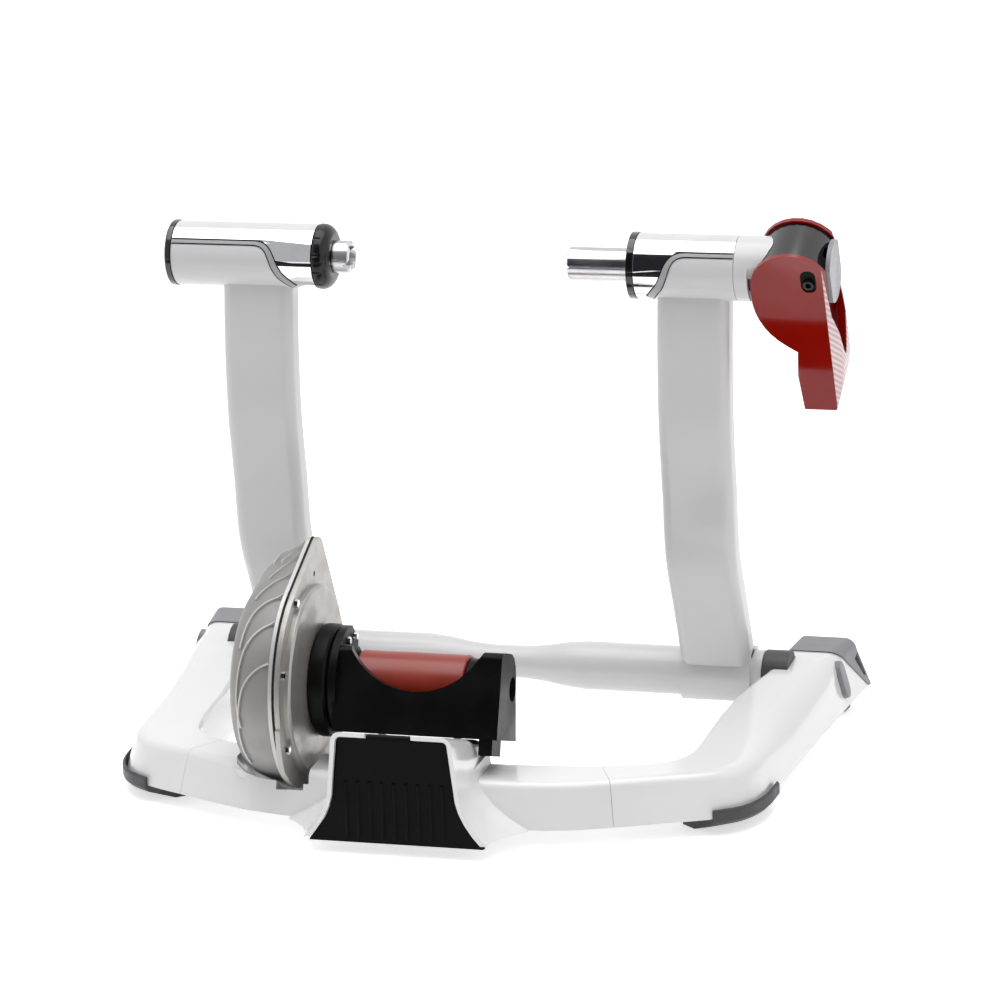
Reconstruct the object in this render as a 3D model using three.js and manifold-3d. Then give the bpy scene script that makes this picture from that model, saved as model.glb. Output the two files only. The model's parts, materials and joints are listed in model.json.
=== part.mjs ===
// Fluid bicycle trainer: a floor frame that grips a bicycle by its rear axle, and a roller that
// the rear tyre turns against a fluid brake. Millimetres, +Z up, the floor at Z = 0.
// X runs along the rear axle with the lever on +X, and -Y is the side with the roller.
import * as THREE from 'three';
import { mergeVertices, mergeGeometries } from 'three/addons/utils/BufferGeometryUtils.js';
import Module from 'manifold-3d';

const wasm = await Module();
wasm.setup();

const fullTurn = 360;

// Clearances and overruns
const gap = 0.3;
const slideGap = 0.5;
const overrun = 2;
const edgeEase = 1;

// Base mouldings
const floorClearance = 13;
const halfSpan = 267;
const baseDepth = 408;
const wingHeight = 39;
const mouldingWall = 3.2;
const innerEdgeRadius = 5;
const innerDraft = 1.5;
const frontLean = 8;
const frontShoulderWidth = 7;
const frontShoulderHeight = 7;
const wingLean = 2;
const wingShoulderWidth = 26;
const wingShoulderHeight = 24;
const tailLean = 9;
const tailShoulderWidth = 8;
const tailShoulderHeight = 9;

// Plan stations from the middle of the front beam to the rear end of a wing. Each row holds the
// inner edge (x, y) and the outer foot (x, y) as shares of half span and depth, the height as a
// share of the wing height, and the section: 0 is the beam's, 1 the wing's and 2 the tail's.
const stationShares = [
  [0, 0.211, 0, 0.093, 0.82, 0],
  [0.225, 0.216, 0.247, 0.088, 0.82, 0],
  [0.3745, 0.2255, 0.4045, 0.0968, 0.82, 0],
  [0.474, 0.2345, 0.5468, 0.1284, 0.82, 0],
  [0.5843, 0.2549, 0.6816, 0.1667, 0.82, 0],
  [0.6442, 0.277, 0.794, 0.1998, 0.82, 0.05],
  [0.6742, 0.3015, 0.8577, 0.2304, 0.83, 0.15],
  [0.6873, 0.3333, 0.8989, 0.2843, 0.84, 0.35],
  [0.6929, 0.3824, 0.912, 0.3676, 0.86, 0.6],
  [0.7004, 0.4902, 0.927, 0.4902, 0.9, 0.9],
  [0.7228, 0.6152, 0.9449, 0.625, 0.95, 1.05],
  [0.764, 0.7255, 0.9625, 0.7475, 1, 1.3],
  [0.779, 0.8088, 0.9738, 0.8333, 1, 1.75],
  [0.8015, 0.9461, 1, 0.9804, 1, 2],
  [0.8127, 1.005, 1.0056, 1.0294, 1, 2],
];
const rightSeam = 3;
const leftSeam = 4;
const hollowEndStation = 10.6;
const rearStation = 14;

// End caps of the wings
const capSlope = 42;
const capRearTop = 382;
const capLength = 35;
const capFrontTop = capRearTop - capLength;
const capRearLean = 12;
const capProud = 1;
const capHoleTop = 28;
const capHoleHeight = 19;
const capHoleLength = 8;
const capHoleWall = 2.4;
const capHoleDepth = 16;

// Feet
const frontFootStart = 4.95;
const frontFootEnd = 7.95;
const footSkirt = 7;
const footProud = 2.6;
const footTread = 34;
const footToe = 21;
const footLip = 11;
const footChamfer = 3;
const rearFootRadius = 16;
const rearFootInset = 27;
const rearFootY = 366;

// Arch under the roller
const archHalfWidth = 44;
const archFootHalfWidth = 67;
const archFlareHeight = 40;
const archFlareSpread = 21;
const archFlareDepth = 32;
const archFlareSteps = 7;
const archCornerRadius = 7;
const archRear = 84;
const lipWall = 3;
const panelRecess = 3;
const panelThickness = 4;
const panelRibCount = 9;
const panelRibRadius = 1.6;
const panelDrop = 3.5;
const tongueWidth = 33;
const tongueOffset = -2;

// Resistance unit, leaning back about the roller's axis
const rollerAxisY = 101.6;
const rollerAxisZ = 95.1;
const unitLean = 20;
const housingLeft = 66;
const housingRight = 62;
const housingBottom = 37;
const housingFront = 36;
const housingTop = 25;
const housingRearTop = 9;
const housingRearBottom = 18;
const housingWallFront = 10;
const housingNose = 6;
const housingFrontDraft = 2;
const housingCrownDraft = 3;
const housingRearBulge = 1;
const cheekWidth = 14;
const leftDiscRadius = 40.5;
const leftDiscWidth = 7.5;
const leftDiscBack = 13;
const leftDiscChamfer = 18;
const saddleRadius = 55;
const saddleX = -1.5;
const saddleDrop = 6;
const legLeft = 48;
const legRight = 58;
const legDrop = 11.5;
const legFront = 33;
const legBack = 9;
const rollerRadius = 23.3;
const rollerLeft = 50;
const rollerRight = 31;
const rollerClearance = 1.5;
const collarRadius = 21;
const shaftRadius = 6;
const coreRadius = 10;
const bearingRadius = 12;
const bearingWidth = 6;
const endHoleRadius = 9;
const rollerEndFloat = 1;
const collarEndGap = 2;
const shaftEndProud = 3;
const flangeRadius = 41;
const flangeWidth = 13.4;
const flangeChamfer = 2;

// Fluid brake
const brakeRadius = 79;
const earReach = 103;
const earRadius = 9;
const brakeFootReach = 78.5;
const pocketClearance = 4;
const pocketWall = 3.4;
const pocketRear = 128;
const rimPlate = 3.4;
const coverPlate = 4;
const gasketThickness = 0.6;
const coverDishRadius = 69;
const coverStepRadius = 58;
const coverDishDepth = 5;
const domeDepth = 36;
const domeWall = 3.5;
const finCount = 12;
const finWidth = 1.8;
const finProud = 1.1;
const finSteps = 3;
const domeSteps = 26;
const finSweep = 46;
const rimScrewAngles = [0, 45, 135, 180, 225, 315];
const rimScrewCircle = 74;
const earHoleAngle = 97;
const earHoleCircle = 76.4;
const earHoleRadius = 2.2;
const rimSlotAngle = 263;
const rimScrewRadius = 2;
const rimScrewHead = 3.4;
const rimScrewHeadHeight = 2.4;
const impellerRadius = 58;
const chamberRadius = 66;
const impellerDisc = 3;
const impellerVane = 11;
const impellerVaneCount = 9;
const hubRadius = 12;
const impellerEndGap = 1;
const shaftNoseProud = 2;
const sealRadius = 14;

// Hinge and crossbar
const hingeY = 318;
const hingeZ = 42;
const barrelRadius = 19;
const barrelInner = 201;
const barrelLength = 19.5;
const barrelOuter = barrelInner + barrelLength;
const pinRadius = 6;
const pinOverhang = 19.5;
const pinOuter = barrelOuter + pinOverhang;
const crossbarRadius = 18.5;
const crossbarNeckRadius = 12.5;
const crossbarNeckHalf = 14;
const crossbarShoulder = 62;
const crossbarWall = 2.2;
const plugLength = 22;

// Arms
const armX = 165.5;
const armWidth = 54;
const armDepth = 28;
const armCorner = 9;
const armWall = 2;
const armCollar = 3;
const tubeY = 262;
const tubeZ = 370;

// Arm centreline, each row a share of the rise and of the setback from the hinge to the tube
const armShares = [
  [0, 0],
  [0.046, 0.09],
  [0.207, 0.55],
  [0.335, 0.9],
  [0.479, 0.99],
  [0.64, 1.1],
  [0.799, 1.08],
  [0.915, 1],
];

// Clamp tubes
const tubeRadius = 24;
const tubeWall = 5;
const tubeInnerEnd = 118.4;
const leftTubeEnd = 227;
const rightTubeInnerEnd = 125;
const rightTubeEnd = 199;
const cradleThickness = 2.8;
const cradleLine = 15;
const cradleFootX = 134;
const cradleHeadX = 158;
const cradleSag = 1;
const endRingRadius = 24.7;
const endRingWidth = 5;
const innerRingWidth = 5;

// Left cup and its adjuster
const knobWidth = 11.6;
const knobRadius = 24.4;
const knobNoseRadius = 16.5;
const knobFluteCount = 12;
const cupRadius = 12.2;
const cupReach = 13;
const cupBoreRadius = 8.6;
const cupBoreDepth = 9;
const cupNotchCount = 4;
const cupNotchDepth = 4.5;
const cupNotchTurn = 20;
const rodRadius = 8;
const rodLength = 62;
const nutWidth = 24;

// Right spindle
const spindleRadius = 12.4;
const spindleTip = 72.6;
const spindleBodyEnd = 146;
const stemRadius = 5;
const stemCollarRadius = 11;
const stemCollarWidth = 2.7;
const serrationCount = 10;
const serrationDepth = 2.6;
const bushWidth = 33;
const bushWall = 3;
const springWire = 1.8;
const springLength = 26;
const springCoilRadius = 8.6;
const springTurns = 7;
const springSeatTurns = 0.5;
const springSteps = 8;
const springSides = 6;

// Lever head, turned about the tube's axis
const headX = 241;
const leverTurn = 25;
const headRadius = 30;
const blockRadius = 28;
const blockHalf = 18.4;
const cheekInner = 19;
const cheekThickness = 3.6;
const leverPinX = 13;
const leverPinZ = 5;
const leverPinRadius = 4;
const leverPinHead = 5.5;
const leverLength = 112.5;
const leverWeb = 4;
const leverEndInner = -1;
const leverEndOuter = 22.5;
const leverBackEdge = 29;
const leverSideEdge = 23.5;
const notchSquare = 27;
const notchApex = 76;
const discRadius = 23;
const discThickness = 3;
const discProud = 0.6;
const stubBite = 2;
const leverShoulderAngle = 15;
const pinHeadWidth = 2;
const pinHeadEase = 1.5;
const pinEndProud = 1.6;
const camHighRadius = 14;
const spindleTravel = 8;
const leverSwing = 100;
const camHalfWidth = 4.5;
const camSlotHalfWidth = 5.2;
const camSlotRadius = 15.6;

// How finely round forms are cut
const fine = 30;
const round = 18;
const small = 10;
const tiny = 6;
const arcSteps = 4;

const turn = THREE.MathUtils.degToRad;
const mix = THREE.MathUtils.lerp;

// Closed bodies and their booleans

function outward(geometry) {
  const flat = geometry.index ? geometry.toNonIndexed() : geometry;
  const p = flat.attributes.position;
  const a = new THREE.Vector3();
  const b = new THREE.Vector3();
  const c = new THREE.Vector3();
  let volume = 0;
  for (let i = 0; i < p.count; i += 3) {
    a.fromBufferAttribute(p, i);
    b.fromBufferAttribute(p, i + 1);
    c.fromBufferAttribute(p, i + 2);
    volume += a.dot(b.cross(c));
  }
  if (volume >= 0) return geometry;
  const turned = geometry.index ? geometry : mergeVertices(geometry);
  const order = turned.index.array;
  for (let i = 0; i < order.length; i += 3) {
    const first = order[i];
    order[i] = order[i + 2];
    order[i + 2] = first;
  }
  return turned;
}

function solid(geometry) {
  const bare = geometry.clone();
  for (const name of Object.keys(bare.attributes)) {
    if (name !== 'position') bare.deleteAttribute(name);
  }
  const merged = outward(mergeVertices(bare, 1e-4));
  return new wasm.Manifold(new wasm.Mesh({
    numProp: 3,
    vertProperties: new Float32Array(merged.attributes.position.array),
    triVerts: new Uint32Array(merged.index.array),
  }));
}

function shell(body) {
  const mesh = body.getMesh();
  const geometry = new THREE.BufferGeometry();
  geometry.setAttribute('position', new THREE.BufferAttribute(new Float32Array(mesh.vertProperties), 3));
  geometry.setIndex(new THREE.BufferAttribute(new Uint32Array(mesh.triVerts), 1));
  return geometry;
}

function cut(body, ...tools) {
  let result = solid(body);
  for (const tool of tools) result = result.subtract(solid(tool));
  return shell(result);
}

function join(...bodies) {
  let result = solid(bodies[0]);
  for (const body of bodies.slice(1)) result = result.add(solid(body));
  return shell(result);
}

function common(body, ...others) {
  let result = solid(body);
  for (const other of others) result = result.intersect(solid(other));
  return shell(result);
}

function group(bodies) {
  return mergeGeometries(bodies.map((body) => {
    const bare = body.index ? body.toNonIndexed() : body.clone();
    for (const name of Object.keys(bare.attributes)) {
      if (name !== 'position') bare.deleteAttribute(name);
    }
    return bare;
  }));
}

function mirrored(geometry) {
  const copy = geometry.clone();
  copy.applyMatrix4(new THREE.Matrix4().makeScale(-1, 1, 1));
  const indexed = copy.index ? copy : mergeVertices(copy);
  for (const name of Object.keys(indexed.attributes)) {
    if (name !== 'position') indexed.deleteAttribute(name);
  }
  return outward(indexed);
}

// Forms along an axis

function prism(shape, depth, steps) {
  return new THREE.ExtrudeGeometry(shape, { depth, bevelEnabled: false, curveSegments: steps });
}

function alongX(shape, from, to, steps = arcSteps) {
  const body = prism(shape, to - from, steps);
  const axes = new THREE.Matrix4().makeBasis(
    new THREE.Vector3(0, 1, 0),
    new THREE.Vector3(0, 0, 1),
    new THREE.Vector3(1, 0, 0),
  );
  return body.applyMatrix4(axes).translate(from, 0, 0);
}

function alongY(shape, from, to, steps = arcSteps) {
  return prism(shape, to - from, steps).rotateX(turn(90)).translate(0, to, 0);
}

function upward(shape, from, to, steps = arcSteps) {
  return prism(shape, to - from, steps).translate(0, 0, from);
}

// A profile of (position along X, radius) pairs turned about the X axis
function turned(profile, steps = round) {
  const points = profile.map(([x, r]) => new THREE.Vector2(r, x));
  points.push(points[0].clone());
  return outward(mergeVertices(bareLathe(points, steps)));
}

function bareLathe(points, steps) {
  const body = new THREE.LatheGeometry(points, steps);
  body.deleteAttribute('normal');
  body.deleteAttribute('uv');
  return body.rotateZ(turn(-90));
}

function rod(from, to, radius, steps = round) {
  return turned([[from, 0], [from, radius], [to, radius], [to, 0]], steps);
}

function ring(from, to, inner, outer, steps = round) {
  return turned([[from, inner], [from, outer], [to, outer], [to, inner]], steps);
}

function block(x0, x1, y0, y1, z0, z1) {
  const body = new THREE.BoxGeometry(x1 - x0, y1 - y0, z1 - z0);
  return body.translate((x0 + x1) / 2, (y0 + y1) / 2, (z0 + z1) / 2);
}

function roundedRect(width, height, radius) {
  const shape = new THREE.Shape();
  const w = width / 2;
  const h = height / 2;
  shape.moveTo(-w + radius, -h);
  shape.lineTo(w - radius, -h);
  shape.absarc(w - radius, -h + radius, radius, turn(-90), 0);
  shape.lineTo(w, h - radius);
  shape.absarc(w - radius, h - radius, radius, 0, turn(90));
  shape.lineTo(-w + radius, h);
  shape.absarc(-w + radius, h - radius, radius, turn(90), turn(180));
  shape.lineTo(-w, -h + radius);
  shape.absarc(-w + radius, -h + radius, radius, turn(180), turn(270));
  return shape;
}

// A skin over rings of equally many points, closed by a flat face at each end
function loft(rings) {
  const count = rings[0].length;
  const vertices = rings.flat().flatMap((point) => [point.x, point.y, point.z]);
  const faces = [];
  for (let level = 0; level + 1 < rings.length; level += 1) {
    for (let i = 0; i < count; i += 1) {
      const a = level * count + i;
      const b = level * count + ((i + 1) % count);
      faces.push(a, b, b + count, a, b + count, a + count);
    }
  }
  const last = (rings.length - 1) * count;
  for (const [a, b, c] of capFaces(rings[0])) faces.push(c, b, a);
  for (const [a, b, c] of capFaces(rings[rings.length - 1])) faces.push(last + a, last + b, last + c);
  const body = new THREE.BufferGeometry();
  body.setAttribute('position', new THREE.Float32BufferAttribute(vertices, 3));
  body.setIndex(faces);
  return outward(body);
}

// Triangles of a flat outline, turned the way the outline runs
function capFaces(outline) {
  const normal = new THREE.Vector3();
  outline.forEach((point, i) => {
    const next = outline[(i + 1) % outline.length];
    normal.x += (point.y - next.y) * (point.z + next.z);
    normal.y += (point.z - next.z) * (point.x + next.x);
    normal.z += (point.x - next.x) * (point.y + next.y);
  });
  normal.normalize();
  const along = outline[1].clone().sub(outline[0]).normalize();
  const across = new THREE.Vector3().crossVectors(normal, along);
  const flat = outline.map((point) => new THREE.Vector2(point.dot(along), point.dot(across)));
  return THREE.ShapeUtils.triangulateShape(flat, []);
}

// Materials

function finish(color, roughness, metalness) {
  return new THREE.MeshStandardMaterial({ color, roughness, metalness });
}

const glossWhite = finish(0xf2f2f2, 0.22, 0);
const paintedWhite = finish(0xe9e9ea, 0.35, 0);
const chrome = finish(0xd8dadd, 0.08, 1);
const steel = finish(0xa8aaad, 0.3, 1);
const castAlloy = finish(0x8e8c88, 0.45, 0.8);
const coverAlloy = finish(0xa9a6a0, 0.4, 0.8);
const blackPlastic = finish(0x141415, 0.45, 0);
const glossBlack = finish(0x0b0b0d, 0.12, 0);
const greyPlastic = finish(0x55565c, 0.5, 0);
const rubber = finish(0x2b2c2f, 0.8, 0);
const redPlastic = finish(0xb01b16, 0.35, 0);
const redRubber = finish(0xb5371f, 0.5, 0);
const satinDisc = finish(0xd9dde2, 0.25, 0.6);
const gasketGrey = finish(0x1d1e20, 0.7, 0);

const trainer = new THREE.Group();

function piece(name, geometry, material, parent) {
  const mesh = new THREE.Mesh(geometry, material);
  mesh.name = name;
  parent.add(mesh);
  return mesh;
}

// Base: rails of the plan, and one section across the beam at any station

const lastStation = stationShares.length - 1;
const innerRail = new THREE.CatmullRomCurve3(stationShares.map(([x, y, , , high]) => (
  new THREE.Vector3(x * halfSpan, y * baseDepth, high * wingHeight)
)));
const outerRail = new THREE.CatmullRomCurve3(stationShares.map(([, , x, y, , form]) => (
  new THREE.Vector3(x * halfSpan, y * baseDepth, form)
)));

function station(t) {
  const inner = innerRail.getPoint(t / lastStation);
  const outer = outerRail.getPoint(t / lastStation);
  const foot = new THREE.Vector3(outer.x, outer.y, 0);
  const edge = new THREE.Vector3(inner.x, inner.y, 0);
  const width = foot.distanceTo(edge);
  const out = foot.clone().sub(edge).normalize();
  return { edge, foot, out, width, height: inner.z, form: THREE.MathUtils.clamp(outer.z, 0, 2) };
}

// Lean, shoulder width and shoulder height of the section at a station's form
const sectionForms = [
  [frontLean, frontShoulderWidth, frontShoulderHeight],
  [wingLean, wingShoulderWidth, wingShoulderHeight],
  [tailLean, tailShoulderWidth, tailShoulderHeight],
];

function sectionForm(form) {
  const from = Math.min(Math.floor(form), sectionForms.length - 2);
  return sectionForms[from].map((size, i) => mix(size, sectionForms[from + 1][i], form - from));
}

function sectionRing(t, inset, proud) {
  const { edge, out, width, height, form } = station(t);
  const top = floorClearance + height - inset + proud;
  const bottom = floorClearance - (inset > 0 ? overrun : 0) - proud;
  const left = inset - proud;
  const right = width - inset + proud;
  const [lean, across, down] = sectionForm(form);
  const profile = [[left, bottom]];
  for (let i = 0; i <= arcSteps - 1; i += 1) {
    const angle = turn(180 - (90 * i) / (arcSteps - 1));
    profile.push([
      left + innerDraft + innerEdgeRadius * (1 + Math.cos(angle)),
      top + innerEdgeRadius * (Math.sin(angle) - 1),
    ]);
  }
  const shoulderSteps = arcSteps + 1;
  for (let i = 0; i <= shoulderSteps; i += 1) {
    const angle = turn(90 - (90 * i) / shoulderSteps);
    profile.push([
      right - lean - across * (1 - Math.cos(angle)),
      top - down * (1 - Math.sin(angle)),
    ]);
  }
  profile.push([right, bottom]);
  return profile.map(([u, z]) => new THREE.Vector3(edge.x + out.x * u, edge.y + out.y * u, z));
}

function railLoft(from, to, steps, inset, proud = 0) {
  const rings = [];
  for (let i = 0; i <= steps; i += 1) rings.push(sectionRing(mix(from, to, i / steps), inset, proud));
  return loft(rings);
}

// The station that lies a short way past a seam, measured along the outer foot
function pastSeam(seam, length) {
  return seam + length / station(seam).foot.distanceTo(station(seam + 1).foot);
}

// A wedge behind a sloping plane across the wing, for the joint with the end cap
function behindCapPlane(shift) {
  const slope = new THREE.Shape();
  const top = floorClearance + wingHeight;
  const reach = baseDepth * 2;
  slope.moveTo(capFrontTop + shift, top);
  slope.lineTo(capFrontTop + shift - capSlope, top + wingHeight);
  slope.lineTo(reach, top + wingHeight);
  slope.lineTo(reach, -floorClearance);
  slope.lineTo(capFrontTop + shift + (capSlope * (top + floorClearance)) / wingHeight, -floorClearance);
  return alongX(slope, halfSpan / 2, halfSpan * 1.5);
}

function behindRearFace() {
  const face = new THREE.Shape();
  const top = floorClearance + wingHeight;
  const slant = capRearLean / wingHeight;
  face.moveTo(capRearTop - slant * wingHeight, top + wingHeight);
  face.lineTo(baseDepth * 2, top + wingHeight);
  face.lineTo(baseDepth * 2, -floorClearance);
  face.lineTo(capRearTop + slant * (top + floorClearance), -floorClearance);
  return alongX(face, halfSpan / 2, halfSpan * 1.5);
}

function hingeBore(from, to, radius, steps = round) {
  return rod(from, to, radius, steps).translate(0, hingeY, hingeZ);
}

// Oblong plug in the outer side of a wing, behind the hinge
const plugY = 339;
const plugZ = 33.5;
const plugLengthUp = 29;
const plugWidthAcross = 15;
const plugTilt = 15;
const plugInset = 12.5;
const plugFaceX = halfSpan - plugInset;
const plugSink = 9;
const plugProud = 3.4;
const plugRoundness = 0.98;

function plugBar(margin, from, to) {
  const width = plugWidthAcross + 2 * margin;
  const outline = roundedRect(width, plugLengthUp + 2 * margin, (width / 2) * plugRoundness);
  return alongX(outline, from, to).rotateY(turn(-plugTilt)).translate(plugFaceX, plugY, plugZ);
}

// Seam bolts join the end walls of the mouldings
const seamBoltRadius = 2.5;
const seamBoltHead = 4.5;
const seamBoltHeadHeight = 3;
const seamBoltShare = 0.5;

function alongSeam(body, seam) {
  const { edge, foot } = station(seam);
  const at = edge.clone().lerp(foot, seamBoltShare);
  const next = station(pastSeam(seam, mouldingWall));
  const ahead = next.edge.lerp(next.foot, seamBoltShare);
  const heading = Math.atan2(ahead.y - at.y, ahead.x - at.x);
  return body.rotateZ(heading).translate(at.x, at.y, floorClearance + seamBoltHeight);
}

const seamBoltHeight = 13;
const seamBoltReach = mouldingWall + gap * 4;

function seamBolt(seam) {
  return alongSeam(turned([
    [-seamBoltReach - gap - seamBoltHeadHeight, 0],
    [-seamBoltReach - gap - seamBoltHeadHeight, seamBoltHead],
    [-seamBoltReach - gap, seamBoltHead],
    [-seamBoltReach - gap, seamBoltRadius],
    [seamBoltReach + gap, seamBoltRadius],
    [seamBoltReach + gap, seamBoltHead],
    [seamBoltReach + gap + seamBoltHeadHeight, seamBoltHead],
    [seamBoltReach + gap + seamBoltHeadHeight, 0],
  ], small), seam);
}

function seamHole(seam) {
  const reach = mouldingWall * 2;
  return alongSeam(rod(-reach, reach, seamBoltRadius + gap, small), seam);
}

function wing(seam) {
  const outer = railLoft(pastSeam(seam, gap / 2), rearStation, 18, 0);
  const hollow = railLoft(pastSeam(seam, gap / 2 + mouldingWall), hollowEndStation, 9, mouldingWall);
  return cut(
    outer,
    hollow,
    behindCapPlane(0),
    hingeBore(barrelInner - plugLength, barrelOuter + gap, barrelRadius + gap),
    hingeBore(barrelOuter, pinOuter + gap, pinRadius + gap, small),
    plugBar(gap, -plugSink - gap, plugLengthUp),
    seamHole(seam),
  );
}

function endCap() {
  const outer = railLoft(hollowEndStation, rearStation, 8, 0, capProud);
  const body = common(cut(outer, behindRearFace()), behindCapPlane(gap));
  const floor = block(0, halfSpan * 1.5, 0, baseDepth * 2, -floorClearance, floorClearance);
  const rearAt = (z) => capRearTop + (capRearLean * (floorClearance + wingHeight - z)) / wingHeight;
  const holeTop = floorClearance + capHoleTop;
  const holeFoot = holeTop - capHoleHeight;
  const hole = new THREE.Shape();
  hole.moveTo(rearAt(holeTop) - capHoleWall, holeTop);
  hole.lineTo(rearAt(holeTop) - capHoleWall - capHoleLength, holeTop - capHoleWall);
  hole.lineTo(rearAt(holeFoot) - capHoleWall - capHoleLength / 2, holeFoot);
  hole.lineTo(rearAt(holeFoot) - capHoleWall, holeFoot);
  const slot = alongX(hole, halfSpan - capHoleDepth, halfSpan * 1.5);
  return cut(body, floor, slot);
}

// Arch: rings across the hump, wider at the foot as it runs back into the beam

const unitUp = new THREE.Vector2(Math.sin(turn(unitLean)), Math.cos(turn(unitLean)));

// Height of a plane square to the unit's lean, at a distance below the roller's axis
function planeUnderUnit(y, below) {
  const onAxis = rollerAxisZ - below / unitUp.y;
  return onAxis - ((y - rollerAxisY) * unitUp.x) / unitUp.y;
}

function archRing(y, inset, below) {
  const top = planeUnderUnit(y, below) - inset / unitUp.y;
  const spread = archFlareSpread * Math.min(1, y / archFlareDepth) ** 2;
  const foot = archFootHalfWidth + Math.max(0, spread) - inset;
  const side = archHalfWidth + archCornerRadius / 2 - inset;
  const bottom = floorClearance - (inset > 0 ? overrun : 0);
  const flareTop = floorClearance + archFlareHeight;
  const corner = archCornerRadius - Math.min(inset, archCornerRadius / 2);
  const half = [];
  for (let i = 0; i <= arcSteps + 1; i += 1) {
    const k = i / (arcSteps + 1);
    half.push([mix(foot, side, 1 - (1 - k) ** 2), mix(bottom, flareTop, k)]);
  }
  for (let i = 0; i <= arcSteps; i += 1) {
    const angle = turn((90 * i) / arcSteps);
    half.push([
      archHalfWidth - inset - corner * (1 - Math.cos(angle)),
      top - corner * (1 - Math.sin(angle)),
    ]);
  }
  const other = half.map(([x, z]) => [-x, z]).reverse();
  return [...half, ...other].map(([x, z]) => new THREE.Vector3(x, y, z));
}

function hump(inset, from, to) {
  const rings = [from];
  for (let i = 1; i <= archFlareSteps; i += 1) rings.push((archFlareDepth * i) / archFlareSteps);
  rings.push(to);
  return loft(rings.map((y) => archRing(y, inset, housingBottom + gap)));
}

// Bolts up through the hump into the roller housing, placed in the unit's own axes
const mountBoltRadius = 3;
const mountBoltHead = 6;
const mountBoltHeadHeight = 4;
const mountBoltX = 28;
const mountBoltBack = -17;
const mountBoltBite = 9;

function mountBolts(shape) {
  return [-mountBoltX, mountBoltX].map((x) => (
    turned(shape, small).rotateY(turn(-90)).translate(x, mountBoltBack, 0)
  ));
}

const toUnit = new THREE.Matrix4()
  .makeTranslation(0, rollerAxisY, rollerAxisZ)
  .multiply(new THREE.Matrix4().makeRotationX(turn(-unitLean)));

const underHump = -housingBottom - gap - mouldingWall;

// Space that the brake dips into, grown by a margin all round
function brakeSpace(margin) {
  const dish = turned([
    [flangeLeft + margin, 0],
    [flangeLeft + margin, brakeRadius + margin],
    [rimLeft, brakeRadius + margin],
    ...domeLevelShares.map(([deep, girth]) => [
      rimLeft - deep * domeDepth - margin,
      girth * brakeRadius + finProud + margin,
    ]),
    [rimLeft - domeDepth - finProud - margin, 0],
  ], fine);
  const lug = alongX(brakeFootShape(margin), rimLeft - margin, flangeLeft);
  return join(dish, lug).applyMatrix4(toUnit);
}

function pocketShell() {
  const span = block(
    rimLeft - brakeRadius,
    flangeLeft + pocketClearance + pocketWall,
    archFlareDepth * 1.6,
    pocketRear,
    0,
    floorClearance + wingHeight * 0.7,
  );
  return common(brakeSpace(pocketClearance + pocketWall), span);
}

function halfBeam(seam, inset) {
  const end = pastSeam(seam, -gap / 2 - inset);
  return railLoft(0, end, 5, inset);
}

function baseCentre() {
  const beam = join(halfBeam(rightSeam, 0), mirrored(halfBeam(leftSeam, 0)));
  const beamHollow = join(halfBeam(rightSeam, mouldingWall), mirrored(halfBeam(leftSeam, mouldingWall)));
  const body = join(beam, hump(0, 0, archRear), pocketShell());
  const hollows = join(beamHollow, hump(mouldingWall, -overrun, archRear - mouldingWall));
  const slot = block(
    tongueOffset - tongueWidth / 2 - gap,
    tongueOffset + tongueWidth / 2 + gap,
    -overrun,
    panelRecess + panelThickness + gap,
    rollerAxisZ - housingBottom,
    rollerAxisZ + housingBottom,
  );
  const shank = [
    [underHump - overrun, 0],
    [underHump - overrun, mountBoltRadius + gap],
    [-housingBottom + overrun, mountBoltRadius + gap],
    [-housingBottom + overrun, 0],
  ];
  const holes = mountBolts(shank).map((hole) => hole.applyMatrix4(toUnit));
  return cut(
    body,
    cut(hollows, brakeSpace(pocketClearance + pocketWall)),
    brakeSpace(pocketClearance),
    slot,
    ...holes,
    seamHole(rightSeam),
    mirrored(seamHole(leftSeam)),
  );
}

function archPanel() {
  const y = panelRecess;
  const face = (at) => archRing(at, mouldingWall + gap, housingBottom + gap).map((point) => (
    point.z < floorClearance ? point.setZ(floorClearance - panelDrop) : point
  ));
  const front = face(y).map((point) => (
    point.setX(THREE.MathUtils.clamp(point.x, -archFootHalfWidth, archFootHalfWidth))
  ));
  const plate = loft([front, face(y + panelThickness)]);
  const tongueTop = planeUnderUnit(y + panelThickness, housingBottom + gap) - gap;
  const tongue = block(
    tongueOffset - tongueWidth / 2,
    tongueOffset + tongueWidth / 2,
    y,
    y + panelThickness,
    rollerAxisZ - housingBottom,
    tongueTop,
  );
  const ribs = [];
  const pitch = (2 * archHalfWidth) / (panelRibCount + 1);
  for (let i = 1; i <= panelRibCount; i += 1) {
    const x = -archHalfWidth + pitch * i;
    const rise = rollerAxisZ - housingBottom - lipWall;
    const rib = new THREE.CylinderGeometry(panelRibRadius, panelRibRadius, rise - floorClearance, tiny);
    ribs.push(rib.rotateX(turn(90)).translate(x, y, (rise + floorClearance) / 2));
  }
  return join(plate, tongue, ...ribs);
}

function frontFoot() {
  const rings = [];
  const steps = 14;
  for (let i = 0; i <= steps; i += 1) {
    const { foot, out } = station(mix(frontFootStart, frontFootEnd, i / steps));
    const profile = [
      [-footTread, 0],
      [-footToe, 0],
      [footProud - footChamfer, footLip - footChamfer],
      [footProud, footLip],
      [footProud, floorClearance + footSkirt - footChamfer / 2],
      [footProud / 2, floorClearance + footSkirt],
      [gap, floorClearance + footSkirt],
      [gap, floorClearance - gap],
      [-footTread, floorClearance - gap],
    ];
    rings.push(profile.map(([u, z]) => new THREE.Vector3(foot.x + out.x * u, foot.y + out.y * u, z)));
  }
  return loft(rings);
}

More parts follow.
